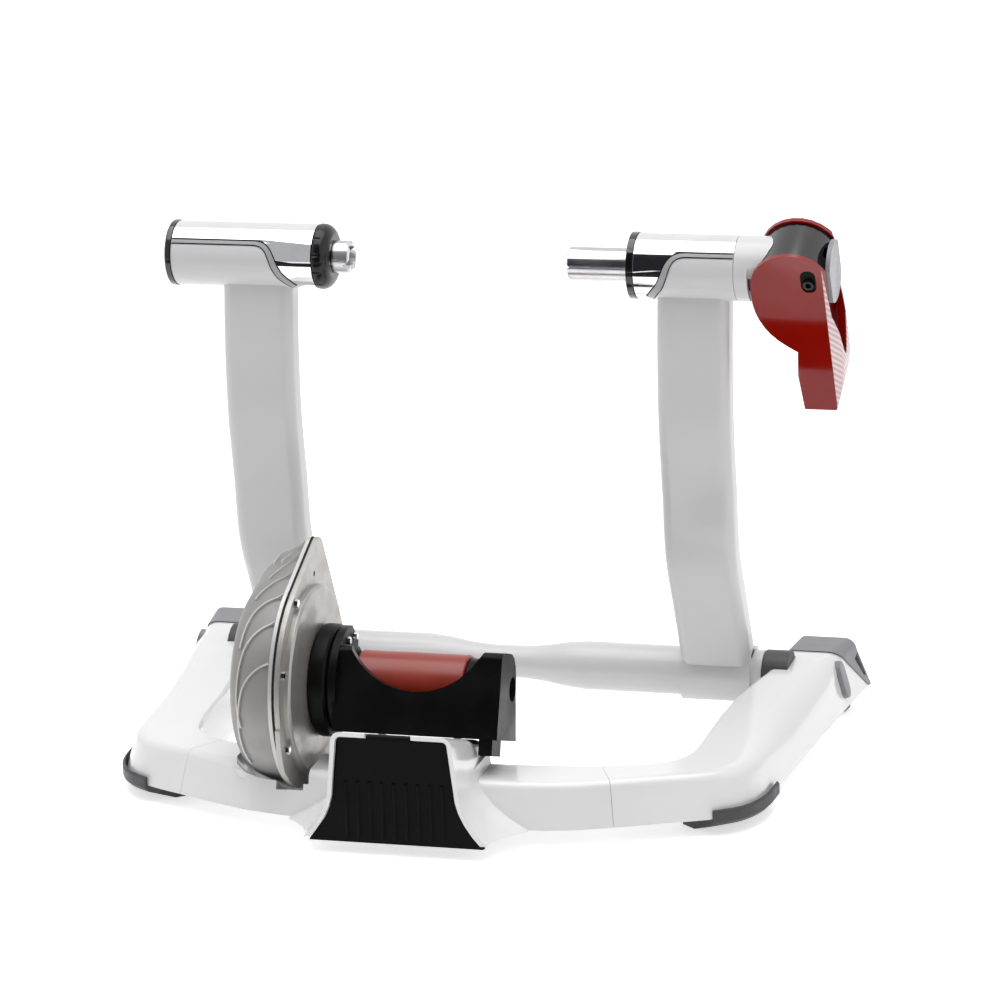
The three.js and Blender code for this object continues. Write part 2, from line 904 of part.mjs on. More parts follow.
function rearFoot() {
  const pad = turned([
    [0, 0],
    [0, rearFootRadius - footChamfer],
    [footChamfer, rearFootRadius],
    [floorClearance - gap, rearFootRadius],
    [floorClearance - gap, 0],
  ], round).rotateY(turn(-90));
  return pad.translate(halfSpan - rearFootInset, rearFootY, 0);
}

// Resistance unit, in axes that lean with it: x along the roller, y back, z up

const unit = new THREE.Group();
unit.position.set(0, rollerAxisY, rollerAxisZ);
unit.rotation.x = turn(-unitLean);
trainer.add(unit);

function housingProfile() {
  const edge = new THREE.Shape();
  const crown = -housingFront + housingCrownDraft;
  edge.moveTo(-housingFront, -housingBottom);
  edge.lineTo(-housingFront + housingFrontDraft, housingTop - housingNose);
  edge.quadraticCurveTo(crown, housingTop, crown + housingNose, housingTop);
  edge.lineTo(-housingNose, housingTop);
  edge.quadraticCurveTo(
    housingRearTop,
    housingTop - housingNose / 2,
    housingRearTop + housingRearBulge,
    -housingNose / 2,
  );
  edge.lineTo(housingRearBottom, -housingBottom);
  return edge;
}

function rollerHousing() {
  const body = alongX(housingProfile(), -housingLeft + leftDiscWidth - overrun, housingRight);
  const disc = turned([
    [-housingLeft, 0],
    [-housingLeft, leftDiscRadius - flangeChamfer],
    [-housingLeft + flangeChamfer, leftDiscRadius],
    [-housingLeft + leftDiscWidth, leftDiscRadius],
    [-housingLeft + leftDiscWidth, 0],
  ], fine);
  const discEdge = new THREE.Shape();
  discEdge.moveTo(-leftDiscRadius * 1.2, -housingBottom);
  discEdge.lineTo(leftDiscBack, -housingBottom);
  discEdge.lineTo(leftDiscBack, leftDiscRadius - leftDiscChamfer * 0.6);
  discEdge.lineTo(leftDiscBack - leftDiscChamfer, leftDiscRadius);
  discEdge.lineTo(leftDiscBack - leftDiscChamfer, leftDiscRadius * 1.2);
  discEdge.lineTo(-leftDiscRadius * 1.2, leftDiscRadius * 1.2);
  const discForm = alongX(discEdge, -housingLeft - overrun, 0);
  const leg = block(
    legLeft,
    legRight,
    -legFront,
    -legBack,
    -housingBottom - legDrop,
    -housingBottom + overrun,
  );
  const inner = -housingLeft + cheekWidth;
  const outer = housingRight - cheekWidth;
  const bay = rod(inner, outer, rollerRadius + rollerClearance, fine);
  const open = block(inner, outer, -housingFront + housingWallFront, housingLeft, 0, housingLeft);
  const rear = block(inner, outer, 0, housingLeft, -housingBottom / 2, housingLeft);
  const saddle = new THREE.CylinderGeometry(saddleRadius, saddleRadius, housingLeft, fine)
    .translate(saddleX, -housingFront, saddleRadius - saddleDrop);
  const underside = block(
    inner + mouldingWall,
    outer - mouldingWall,
    -housingFront / 2,
    housingRearBottom - mouldingWall * 1.6,
    -housingBottom - overrun,
    -housingBottom + mouldingWall,
  );
  const bearings = [
    ring(-housingLeft - overrun, -housingLeft + bearingWidth + gap, 0, bearingRadius + gap),
    rod(outer - overrun, outer + bearingWidth + gap, bearingRadius + gap),
    rod(-housingLeft, inner + overrun, shaftRadius + slideGap, small),
    rod(outer, housingRight + overrun, endHoleRadius),
  ];
  const bolts = mountBolts([
    [-housingBottom - overrun, 0],
    [-housingBottom - overrun, mountBoltRadius + gap],
    [-housingBottom + mountBoltBite, mountBoltRadius + gap],
    [-housingBottom + mountBoltBite, 0],
  ]);
  const hull = join(body, common(disc, discForm), leg);
  return cut(hull, bay, open, rear, saddle, underside, ...bearings, ...bolts, ...flangeHoles());
}

const flangeScrewCircle = 32.5;
const flangeScrewRadius = 1.8;
const flangeScrewHead = 3;
const flangeScrewHeadHeight = 2.4;
const flangeScrewAngles = [88, 118];
const flangeLeft = -housingLeft - gap - flangeWidth;

function aroundAxis(bodyAt, angles, radius) {
  return angles.map((angle) => bodyAt().translate(
    0,
    radius * Math.cos(turn(angle)),
    radius * Math.sin(turn(angle)),
  ));
}

function flangeHoles() {
  const from = flangeLeft + flangeWidth / 2;
  return aroundAxis(
    () => rod(from, housingRight / 2 - housingLeft, flangeScrewRadius + gap, tiny),
    flangeScrewAngles,
    flangeScrewCircle,
  );
}

function couplingFlange() {
  const body = turned([
    [flangeLeft, shaftRadius + slideGap * 2],
    [flangeLeft, flangeRadius - flangeChamfer],
    [flangeLeft + flangeChamfer, flangeRadius],
    [-housingLeft - gap - flangeChamfer, flangeRadius],
    [-housingLeft - gap, flangeRadius - flangeChamfer],
    [-housingLeft - gap, shaftRadius + slideGap * 2],
  ], fine);
  return cut(body, ...flangeHoles());
}

function screwBody(from, to, radius, head, headHeight) {
  return turned([
    [from, 0],
    [from, radius],
    [to, radius],
    [to, head],
    [to + headHeight, head * 0.85],
    [to + headHeight, 0],
  ], tiny);
}

// Teardrop outline of the brake: a circle with an ear, drawn as one closed ring
function teardrop(radius, reach, tip, x) {
  const far = reach - tip;
  const spread = Math.acos(Math.min(1, (radius - tip) / Math.max(far, radius - tip + gap)));
  const ringPoints = [];
  const tipSteps = tiny / 2;
  for (let i = 0; i <= tipSteps; i += 1) {
    const angle = turn(90) - spread + (2 * spread * i) / tipSteps;
    ringPoints.push([tip * Math.cos(angle), far + tip * Math.sin(angle)]);
  }
  for (let i = 0; i <= domeSteps; i += 1) {
    const angle = turn(90) + spread + ((turn(fullTurn) - 2 * spread) * i) / domeSteps;
    ringPoints.push([radius * Math.cos(angle), radius * Math.sin(angle)]);
  }
  return ringPoints.map(([y, z]) => new THREE.Vector3(x, y, z));
}

const coverRight = flangeLeft - gap;
const coverFlangeRight = coverRight - coverDishDepth * 1.6;
const coverFlangeLeft = coverFlangeRight - coverPlate;
const gasketLeft = coverFlangeLeft - gap - gasketThickness;
const rimRight = gasketLeft - gap;
const rimLeft = rimRight - rimPlate;

function rimShape(x, shrink = 0) {
  return teardrop(brakeRadius - shrink, earReach - shrink, earRadius - shrink / 2, x);
}

// Lug at the lower front of the brake, with a flat underside, as shares of the foot's reach
const brakeFootShares = [
  [0, 0],
  [-0.9, -0.5],
  [-0.8, -0.72],
  [-0.67, -0.87],
  [-0.5, -0.95],
  [-0.3, -1],
  [0, -1],
];

function brakeFootShape(margin) {
  const size = brakeFootReach + margin;
  return new THREE.Shape(brakeFootShares.map(([back, up]) => new THREE.Vector2(back * size, up * size)));
}

function rimPlateBody(from, to) {
  return join(loft([rimShape(from), rimShape(to)]), alongX(brakeFootShape(0), from, to));
}

function rimHoles(from, to) {
  const screws = aroundAxis(
    () => rod(from, to, rimScrewRadius + gap, tiny),
    rimScrewAngles,
    rimScrewCircle,
  );
  const ear = aroundAxis(() => rod(from, to, earHoleRadius, tiny), [earHoleAngle], earHoleCircle);
  const slot = aroundAxis(() => rod(from, to, earHoleRadius, tiny), [rimSlotAngle], brakeRadius);
  return [...screws, ...ear, ...slot];
}

// Dome levels: distance behind the rim plate, circle radius and ear reach
const domeLevelShares = [
  [0, 0.962, 0.971],
  [0.35, 0.94, 0.9],
  [0.7, 0.89, 0.8],
  [0.92, 0.8, 0.7],
  [1, 0.7, 0.6],
];

function domeLoft(grow, depth) {
  return loft(domeLevelShares.map(([deep, girth, reach]) => {
    const radius = girth * brakeRadius + grow;
    const tipReach = Math.max(reach * earReach + grow, radius + gap);
    const tip = earRadius * mix(0.9, 1.6, deep) + grow / 2;
    return teardrop(radius, tipReach, tip, rimLeft + gap / 2 - deep * depth);
  }));
}

function finBlade(index) {
  const blade = new THREE.Shape();
  const inner = brakeRadius * 0.26;
  const outer = earReach;
  const base = (fullTurn * index) / finCount;
  const sweep = (share) => turn(base + finSweep * (1 - share) ** 1.6);
  const edge = (side) => Array.from({ length: finSteps + 1 }, (_, i) => {
    const share = i / finSteps;
    const reach = mix(inner, outer, share);
    const angle = sweep(share);
    const half = (side * finWidth) / 2;
    return new THREE.Vector2(
      reach * Math.cos(angle) - half * Math.sin(angle),
      reach * Math.sin(angle) + half * Math.cos(angle),
    );
  });
  blade.setFromPoints([...edge(-1), ...edge(1).reverse()]);
  return alongX(blade, rimLeft - domeDepth * 1.3, rimLeft + gap);
}

function dome() {
  const skin = domeLoft(0, domeDepth);
  const grown = domeLoft(finProud, domeDepth + finProud);
  const blades = Array.from({ length: finCount }, (_, i) => finBlade(i));
  const fins = common(group(blades), grown);
  const hollow = turned([
    [rimRight + overrun, 0],
    [rimRight + overrun, chamberRadius],
    ...domeLevelShares.map(([deep, girth]) => [
      rimLeft - deep * (domeDepth - domeWall),
      Math.min(girth * brakeRadius - domeWall, chamberRadius),
    ]),
    [rimLeft - domeDepth + domeWall, 0],
  ], round);
  const body = join(skin, rimPlateBody(rimLeft, rimRight), fins);
  return cut(body, hollow, ...rimHoles(rimLeft - rimScrewHeadHeight, rimRight + overrun));
}

function coverBody() {
  const dish = turned([
    [coverFlangeLeft + gap, 0],
    [coverFlangeLeft + gap, coverDishRadius],
    [coverFlangeRight + coverDishDepth * 0.7, coverDishRadius],
    [coverFlangeRight + coverDishDepth, coverDishRadius - flangeChamfer],
    [coverFlangeRight + coverDishDepth, coverStepRadius],
    [coverRight - flangeChamfer, coverStepRadius - flangeChamfer],
    [coverRight, coverStepRadius - flangeChamfer * 3],
    [coverRight, 0],
  ], fine);
  const bore = rod(coverFlangeLeft - overrun, coverRight + overrun, shaftRadius + slideGap, small);
  const sealSeat = rod(coverRight - bearingWidth - gap, coverRight + overrun, sealRadius + gap);
  const body = join(rimPlateBody(coverFlangeLeft, coverFlangeRight), dish);
  return cut(body, bore, sealSeat, ...rimHoles(coverFlangeLeft - overrun, coverFlangeRight + overrun));
}

function gasketBody() {
  const right = gasketLeft + gasketThickness;
  const outer = loft([rimShape(gasketLeft, gap * 2), rimShape(right, gap * 2)]);
  const mouth = rod(gasketLeft - overrun, gasketLeft + overrun, chamberRadius);
  return cut(outer, mouth, ...rimHoles(gasketLeft - overrun, gasketLeft + overrun));
}

function rimScrews() {
  const from = rimLeft + gap;
  const seat = coverFlangeRight + gap;
  return aroundAxis(
    () => screwBody(from, seat, rimScrewRadius, rimScrewHead, rimScrewHeadHeight),
    rimScrewAngles,
    rimScrewCircle,
  );
}

function flangeScrews() {
  const from = flangeLeft + flangeWidth / 2 + gap;
  const head = -housingLeft + leftDiscWidth + gap;
  return aroundAxis(
    () => screwBody(from, head, flangeScrewRadius, flangeScrewHead, flangeScrewHeadHeight),
    flangeScrewAngles,
    flangeScrewCircle,
  );
}

const innerCheek = -housingLeft + cheekWidth;
const outerCheek = housingRight - cheekWidth;

piece('roller_housing', rollerHousing(), blackPlastic, unit);
piece('coupling_flange', couplingFlange(), blackPlastic, unit);
flangeScrews().forEach((screw, i) => piece(`flange_screw_${i + 1}`, screw, steel, unit));
piece('cover_plate', coverBody(), coverAlloy, unit);
piece('rim_gasket', gasketBody(), gasketGrey, unit);
piece('dome_housing', dome(), castAlloy, unit);
rimScrews().forEach((screw, i) => piece(`rim_screw_${i + 1}`, screw, steel, unit));
piece('shaft_seal', ring(
  coverRight - bearingWidth,
  coverRight,
  shaftRadius + slideGap,
  sealRadius,
), rubber, unit);
piece('bearing_left', ring(
  -housingLeft + gap,
  -housingLeft + bearingWidth,
  shaftRadius + slideGap / 2,
  bearingRadius,
), steel, unit);
piece('bearing_right', ring(
  outerCheek + gap,
  outerCheek + bearingWidth,
  shaftRadius + slideGap / 2,
  bearingRadius,
), steel, unit);
mountBolts([
  [underHump - gap - mountBoltHeadHeight, 0],
  [underHump - gap - mountBoltHeadHeight, mountBoltHead],
  [underHump - gap, mountBoltHead],
  [underHump - gap, mountBoltRadius],
  [-housingBottom + mountBoltBite - gap, mountBoltRadius],
  [-housingBottom + mountBoltBite - gap, 0],
]).forEach((bolt, i) => piece(`mount_bolt_${i + 1}`, bolt, steel, unit));

// The base's pieces follow the brake's, whose space they leave

piece('base_centre', baseCentre(), glossWhite, trainer);
piece('arch_panel', archPanel(), blackPlastic, trainer);
for (const [side, flip, seam] of [['right', (body) => body, rightSeam], ['left', mirrored, leftSeam]]) {
  piece(`wing_${side}`, flip(wing(seam)), glossWhite, trainer);
  piece(`end_cap_${side}`, flip(endCap()), greyPlastic, trainer);
  piece(`front_foot_${side}`, flip(frontFoot()), rubber, trainer);
  piece(`rear_foot_${side}`, flip(rearFoot()), rubber, trainer);
  piece(`side_plug_${side}`, flip(plugBar(0, -plugSink, plugProud)), greyPlastic, trainer);
  piece(`hinge_bush_${side}`, flip(ring(barrelInner, barrelOuter, pinRadius + gap, barrelRadius)
    .translate(0, hingeY, hingeZ)), greyPlastic, trainer);
  piece(`hinge_pin_${side}`, flip(rod(barrelInner - plugLength + overrun, pinOuter, pinRadius, small)
    .translate(0, hingeY, hingeZ)), steel, trainer);
  piece(`seam_bolt_${side}`, flip(seamBolt(seam)), steel, trainer);
}

// Turning train: shaft, roller, collar and impeller

const impellerLeft = rimLeft - impellerDisc - impellerEndGap;
const shaftLeft = impellerLeft - impellerVane - shaftNoseProud;
const shaftRight = outerCheek + bearingWidth + shaftEndProud;
const coreLeft = innerCheek + rollerEndFloat;
const coreRight = outerCheek - rollerEndFloat;

function impeller() {
  const right = impellerLeft + impellerDisc;
  const hub = ring(impellerLeft - impellerVane, right, shaftRadius + gap, hubRadius);
  const disc = ring(impellerLeft, right, shaftRadius + gap, impellerRadius, fine);
  const vanes = Array.from({ length: impellerVaneCount }, (_, i) => {
    const vane = new THREE.Shape();
    const reach = impellerRadius - overrun;
    vane.moveTo(hubRadius - overrun, 0);
    vane.quadraticCurveTo(reach / 2, reach / 5, reach, reach / 4);
    vane.lineTo(reach - overrun, reach / 4 + overrun);
    vane.quadraticCurveTo(reach / 2, reach / 5 + overrun, hubRadius - overrun, overrun);
    return alongX(vane, impellerLeft - impellerVane * 0.7, impellerLeft + impellerDisc / 2)
      .rotateX(turn((fullTurn * i) / impellerVaneCount));
  });
  return join(hub, disc, ...vanes);
}

piece('roller_shaft', turned([
  [shaftLeft, 0],
  [shaftLeft, shaftRadius],
  [coreLeft, shaftRadius],
  [coreLeft, coreRadius],
  [coreRight, coreRadius],
  [coreRight, shaftRadius],
  [shaftRight, shaftRadius],
  [shaftRight, 0],
]), steel, unit);
piece('roller_sleeve', turned([
  [-rollerLeft, coreRadius + gap],
  [-rollerLeft, rollerRadius - edgeEase],
  [-rollerLeft + edgeEase, rollerRadius],
  [rollerRight - edgeEase, rollerRadius],
  [rollerRight, rollerRadius - edgeEase],
  [rollerRight, coreRadius + gap],
], fine), redRubber, unit);
piece('roller_collar', ring(
  rollerRight + gap,
  outerCheek - collarEndGap,
  coreRadius + gap,
  collarRadius,
  fine,
), blackPlastic, unit);
piece('impeller', impeller(), castAlloy, unit);

// Upper frame: crossbar, arms and clamp tubes

function crossbarOutline(inset) {
  const end = barrelInner - gap;
  const outer = crossbarRadius - inset;
  const neck = crossbarNeckRadius - inset;
  const half = [[end, outer], [crossbarShoulder, outer]];
  for (let i = 1; i < arcSteps - 1; i += 1) {
    const k = i / (arcSteps - 1);
    const ease = k * k * (3 - 2 * k);
    half.push([mix(crossbarShoulder, crossbarNeckHalf, k), mix(outer, neck, ease)]);
  }
  half.push([crossbarNeckHalf, neck]);
  return [...half, ...half.map(([x, r]) => [-x, r]).reverse()];
}

function crossbar() {
  const end = barrelInner - gap;
  const outer = crossbarOutline(0);
  const inner = crossbarOutline(crossbarWall).filter(([x]) => Math.abs(x) < end);
  const bored = turned([
    ...outer,
    [-end, pinRadius + gap],
    [-end + plugLength, pinRadius + gap],
    [-end + plugLength, crossbarRadius - crossbarWall],
    ...inner.reverse(),
    [end - plugLength, crossbarRadius - crossbarWall],
    [end - plugLength, pinRadius + gap],
    [end, pinRadius + gap],
  ], round);
  return bored.translate(0, hingeY, hingeZ);
}

const armCentre = new THREE.CatmullRomCurve3(armShares.map(([rise, set]) => new THREE.Vector3(
  armX,
  mix(hingeY, tubeY, set),
  mix(hingeZ, tubeZ, rise),
)));

function armLoft(inset, from, to, steps) {
  const rings = [];
  const shape = roundedRect(armWidth - 2 * inset, armDepth - 2 * inset, armCorner - inset);
  const outline = shape.getPoints(inset > 0 ? 1 : 2);
  outline.pop();
  for (let i = 0; i <= steps; i += 1) {
    const t = mix(from, to, i / steps);
    const at = armCentre.getPoint(t);
    const ahead = armCentre.getTangent(t);
    const across = new THREE.Vector3(0, -ahead.z, ahead.y);
    rings.push(outline.map(({ x, y }) => (
      at.clone().add(new THREE.Vector3(x, 0, 0)).addScaledVector(across, -y)
    )));
  }
  const last = rings[rings.length - 1].map((p) => p.clone().setZ(tubeZ + inset));
  return loft([...rings, last]);
}

function arm() {
  const outer = armLoft(0, 0, 1, 9);
  const inner = armLoft(armWall, 0, 1, 9);
  const left = armX - armWidth / 2;
  const right = armX + armWidth / 2;
  const collar = rod(left, right, crossbarRadius + armCollar, fine);
  const under = block(0, halfSpan, 0, baseDepth, -hingeZ, hingeZ);
  const bar = rod(left - overrun, right + overrun, crossbarRadius + gap, fine);
  const tube = rod(left - overrun, right + overrun, tubeRadius + gap, fine);
  collar.translate(0, hingeY, hingeZ);
  bar.translate(0, hingeY, hingeZ);
  tube.translate(0, tubeY, tubeZ);
  return cut(join(cut(outer, under), collar), inner, bar, tube);
}

piece('crossbar', crossbar(), paintedWhite, trainer);
for (const [side, flip] of [['right', (body) => body], ['left', mirrored]]) {
  piece(`arm_${side}`, flip(arm()), paintedWhite, trainer);
}

// Clamp tubes lie on one axis, so they are drawn about X and moved there together
const clamp = new THREE.Group();
clamp.position.set(0, tubeY, tubeZ);
trainer.add(clamp);

// The region that the white cradle takes from the chrome tube, seen from the front
function cradleRegion(grow, outerEnd) {
  const region = new THREE.Shape();
  const low = -tubeRadius - overrun;
  region.moveTo(cradleFootX - grow, low);
  region.lineTo(outerEnd + grow, low);
  region.lineTo(outerEnd + grow, cradleLine + grow);
  region.lineTo(cradleHeadX - grow, cradleLine + grow);
  region.quadraticCurveTo(
    mix(cradleFootX, cradleHeadX, 0.7) - grow,
    cradleLine - cradleSag,
    mix(cradleFootX, cradleHeadX, 0.48) - grow,
    -tubeRadius * 0.32,
  );
  region.lineTo(cradleFootX - grow, -tubeRadius * 0.92);
  return alongY(region, -tubeRadius * 1.5, tubeRadius * 1.5);
}

function cradle(outerEnd) {
  const layer = ring(cradleFootX - overrun, outerEnd, tubeRadius - cradleThickness, tubeRadius, fine);
  return common(layer, cradleRegion(0, outerEnd));
}

function clampTube(innerEnd, outerEnd, cradleEnd) {
  const body = ring(innerEnd, outerEnd, tubeRadius - tubeWall, tubeRadius, fine);
  const layer = ring(
    cradleFootX - overrun * 2,
    outerEnd + overrun,
    tubeRadius - cradleThickness - gap,
    tubeRadius + overrun,
    fine,
  );
  return cut(body, common(layer, cradleRegion(gap, cradleEnd)));
}

piece('clamp_tube_left', mirrored(clampTube(tubeInnerEnd, leftTubeEnd, leftTubeEnd)), chrome, clamp);
piece('cradle_left', mirrored(cradle(leftTubeEnd)), paintedWhite, clamp);
piece('end_plug_left', mirrored(turned([
  [leftTubeEnd + gap, 0],
  [leftTubeEnd + gap, endRingRadius],
  [leftTubeEnd + endRingWidth - edgeEase, endRingRadius],
  [leftTubeEnd + endRingWidth, endRingRadius - edgeEase],
  [leftTubeEnd + endRingWidth, 0],
], fine)), blackPlastic, clamp);

// Left cup on a threaded rod, moved by a knob that turns at the tube's mouth

const nutLeft = -tubeInnerEnd - nutWidth;

piece('clamp_nut', ring(
  nutLeft,
  -tubeInnerEnd - gap,
  rodRadius + gap,
  tubeRadius - tubeWall - gap,
), steel, clamp);

function knob() {
  const left = -tubeInnerEnd + gap;
  const body = turned([
    [left, rodRadius + slideGap],
    [left, knobRadius],
    [left + knobWidth * 0.42, knobRadius],
    [left + knobWidth, knobNoseRadius],
    [left + knobWidth, rodRadius + slideGap],
  ], fine);
  const flutes = Array.from({ length: knobFluteCount }, (_, i) => (
    rod(left - overrun, left + knobWidth + overrun, overrun * 1.4, tiny)
      .translate(0, 0, knobRadius + overrun * 0.9)
      .rotateX(turn((fullTurn * (i + 0.5)) / knobFluteCount))
  ));
  return cut(body, ...flutes);
}

const knobEnd = -tubeInnerEnd + gap + knobWidth;
const cupLeft = knobEnd + gap;
const cupTip = cupLeft + cupReach;

function leftCup() {
  const body = turned([
    [cupLeft - knobWidth - rodLength, 0],
    [cupLeft - knobWidth - rodLength, rodRadius],
    [cupLeft, rodRadius],
    [cupLeft, cupRadius],
    [cupTip - edgeEase, cupRadius],
    [cupTip, cupRadius - edgeEase],
    [cupTip, cupBoreRadius],
    [cupTip - cupBoreDepth, cupBoreRadius - edgeEase],
    [cupTip - cupBoreDepth, 0],
  ]);
  const notch = new THREE.Shape();
  notch.moveTo(cupTip - cupNotchDepth, 0);
  notch.lineTo(cupTip + overrun, cupNotchDepth);
  notch.lineTo(cupTip + overrun, -cupNotchDepth);
  const notches = Array.from({ length: cupNotchCount / 2 }, (_, i) => (
    alongY(notch, -cupRadius * 1.5, cupRadius * 1.5)
      .rotateX(turn((fullTurn * i) / cupNotchCount + cupNotchTurn))
  ));
  return cut(body, ...notches);
}

piece('adjuster_knob', knob(), glossBlack, clamp);
piece('axle_cup_left', leftCup(), chrome, clamp);

// Right side: ring, bush, spring and sliding spindle

piece('clamp_tube_right', clampTube(rightTubeInnerEnd, rightTubeEnd, headX), chrome, clamp);
piece('tube_ring_right', ring(
  rightTubeInnerEnd - gap - innerRingWidth,
  rightTubeInnerEnd - gap,
  spindleRadius + slideGap,
  endRingRadius,
  fine,
), blackPlastic, clamp);
const bushEnd = rightTubeInnerEnd + bushWidth;
piece('spindle_bush', turned([
  [rightTubeInnerEnd, spindleRadius + slideGap],
  [rightTubeInnerEnd, tubeRadius - tubeWall - gap],
  [bushEnd, tubeRadius - tubeWall - gap],
  [bushEnd, stemRadius + slideGap],
  [bushEnd - bushWall, stemRadius + slideGap],
  [bushEnd - bushWall, spindleRadius + slideGap],
]), blackPlastic, clamp);

const stemEnd = headX + leverPinX - camHighRadius - slideGap * 2;
const springEnd = bushEnd + springLength;

function spindle() {
  const body = turned([
    [spindleTip, cupBoreRadius],
    [spindleTip, spindleRadius - edgeEase],
    [spindleTip + edgeEase, spindleRadius],
    [spindleBodyEnd, spindleRadius],
    [spindleBodyEnd, stemRadius],
    [springEnd, stemRadius],
    [springEnd, stemCollarRadius],
    [springEnd + stemCollarWidth, stemCollarRadius],
    [springEnd + stemCollarWidth, stemRadius],
    [stemEnd - stemRadius, stemRadius],
    [stemEnd, 0],
    [spindleTip + cupBoreDepth, 0],
    [spindleTip + cupBoreDepth, cupBoreRadius - edgeEase],
  ]);
  const tooth = new THREE.Shape();
  tooth.moveTo(spindleTip + serrationDepth, 0);
  tooth.lineTo(spindleTip - overrun, serrationDepth);
  tooth.lineTo(spindleTip - overrun, -serrationDepth);
  const teeth = Array.from({ length: serrationCount / 2 }, (_, i) => (
    alongY(tooth, -spindleRadius * 1.5, spindleRadius * 1.5).rotateX(turn((fullTurn * i) / serrationCount))
  ));
  return cut(body, ...teeth);
}

piece('axle_spindle', spindle(), chrome, clamp);

// Return spring between the bush's end wall and the collar on the spindle's stem
const springFrom = bushEnd + gap + springWire / 2;
const springTo = springEnd - gap - springWire / 2;
const blockStubEnd = rightTubeEnd - stubBite;

function coil() {
  const steps = springTurns * springSteps;
  const seated = springSeatTurns / springTurns;
  const points = Array.from({ length: steps + 1 }, (_, i) => {
    const share = i / steps;
    const angle = turn(fullTurn * springTurns * share);
    const rise = THREE.MathUtils.clamp((share - seated) / (1 - 2 * seated), 0, 1);
    return new THREE.Vector3(
      mix(springFrom, springTo, rise),
      springCoilRadius * Math.cos(angle),
      springCoilRadius * Math.sin(angle),
    );
  });
  const wire = new THREE.Shape();
  wire.absarc(0, 0, springWire / 2, 0, turn(fullTurn));
  return new THREE.ExtrudeGeometry(wire, {
    extrudePath: new THREE.CatmullRomCurve3(points),
    steps,
    curveSegments: springSides,
    bevelEnabled: false,
  });
}

// Lever head, in axes turned about the tube: y along the lever's pin, z against the handle

const head = new THREE.Group();
head.position.set(headX, 0, 0);
head.rotation.x = turn(leverTurn);
clamp.add(head);

// Draws a body about the pin, with its length along the head's y axis
function alongPin(body) {
  return body.rotateZ(turn(90)).translate(leverPinX, 0, leverPinZ);
}

function headBlock() {
  const body = rod(-blockHalf, blockHalf, blockRadius, fine).rotateZ(turn(90));
  const stub = rod(blockStubEnd - headX, -blockRadius / 2, tubeRadius - tubeWall - gap);
  const stem = rod(blockStubEnd - headX - overrun, leverPinX, stemRadius + slideGap, small);
  const slot = alongPin(rod(-camSlotHalfWidth, camSlotHalfWidth, camSlotRadius));
  const bore = alongPin(rod(-blockHalf - overrun, blockHalf + overrun, leverPinRadius + gap, small));
  const face = block(
    blockRadius - discThickness,
    blockRadius * 2,
    -blockRadius,
    blockRadius,
    -blockRadius,
    blockRadius,
  );
  return cut(join(body, stub), stem, slot, bore, face);
}

function endDisc() {
  const disc = rod(blockRadius - discThickness + gap, blockRadius + discProud, discRadius, fine);
  return common(disc, block(0, headX, -blockHalf, blockHalf, -headX, headX));
}

// White collar between the cradle and the head block, hollowed where the lever's cheeks swing
function collarRight() {
  const layer = ring(
    rightTubeEnd + gap - headX,
    -blockRadius / 2,
    tubeRadius - tubeWall + gap,
    tubeRadius,
    fine,
  );
  const seat = rod(-blockRadius * 2, blockRadius * 2, blockRadius + gap, fine).rotateZ(turn(90));
  const stub = rod(-headX, headX, tubeRadius - tubeWall, round);
  const swing = -headRadius - overrun;
  const near = cheekInner - slideGap;
  const cheeks = [[-blockRadius, -near], [near, blockRadius]].map(([from, to]) => (
    block(swing, 0, from, to, -blockRadius, blockRadius)
  ));
  return cut(layer, seat, stub, ...cheeks);
}

function leverOutline() {
  const edge = new THREE.Shape();
  const neck = leverLength * 0.52;
  edge.moveTo(leverEndInner, -leverLength);
  edge.lineTo(leverEndOuter, -leverLength);
  edge.quadraticCurveTo(leverBackEdge, -leverLength * 0.8, leverBackEdge, -notchApex);
  edge.lineTo(leverBackEdge, -leverPinZ);
  edge.absarc(0, 0, headRadius, turn(leverShoulderAngle), turn(180), false);
  edge.lineTo(-headRadius, -headRadius / 2);
  edge.quadraticCurveTo(-headRadius * 0.9, -headRadius * 1.3, -headRadius * 0.3, -neck * 0.9);
  edge.lineTo(leverEndInner, -neck);
  edge.lineTo(leverEndInner - overrun, -leverLength * 0.72);
  return edge;
}

// The lever's back is rounded from cheek to cheek
function leverBack() {
  const outer = cheekInner + cheekThickness;
  const plan = new THREE.Shape();
  plan.moveTo(-headRadius * 1.5, outer + overrun);
  plan.lineTo(-headRadius * 1.5, -outer - overrun);
  plan.lineTo(leverSideEdge, -outer);
  plan.quadraticCurveTo(leverBackEdge * 1.12, -outer / 2, leverBackEdge * 1.12, 0);
  plan.quadraticCurveTo(leverBackEdge * 1.12, outer / 2, leverSideEdge, outer);
  return upward(plan, -leverLength - overrun, headRadius * 2);
}

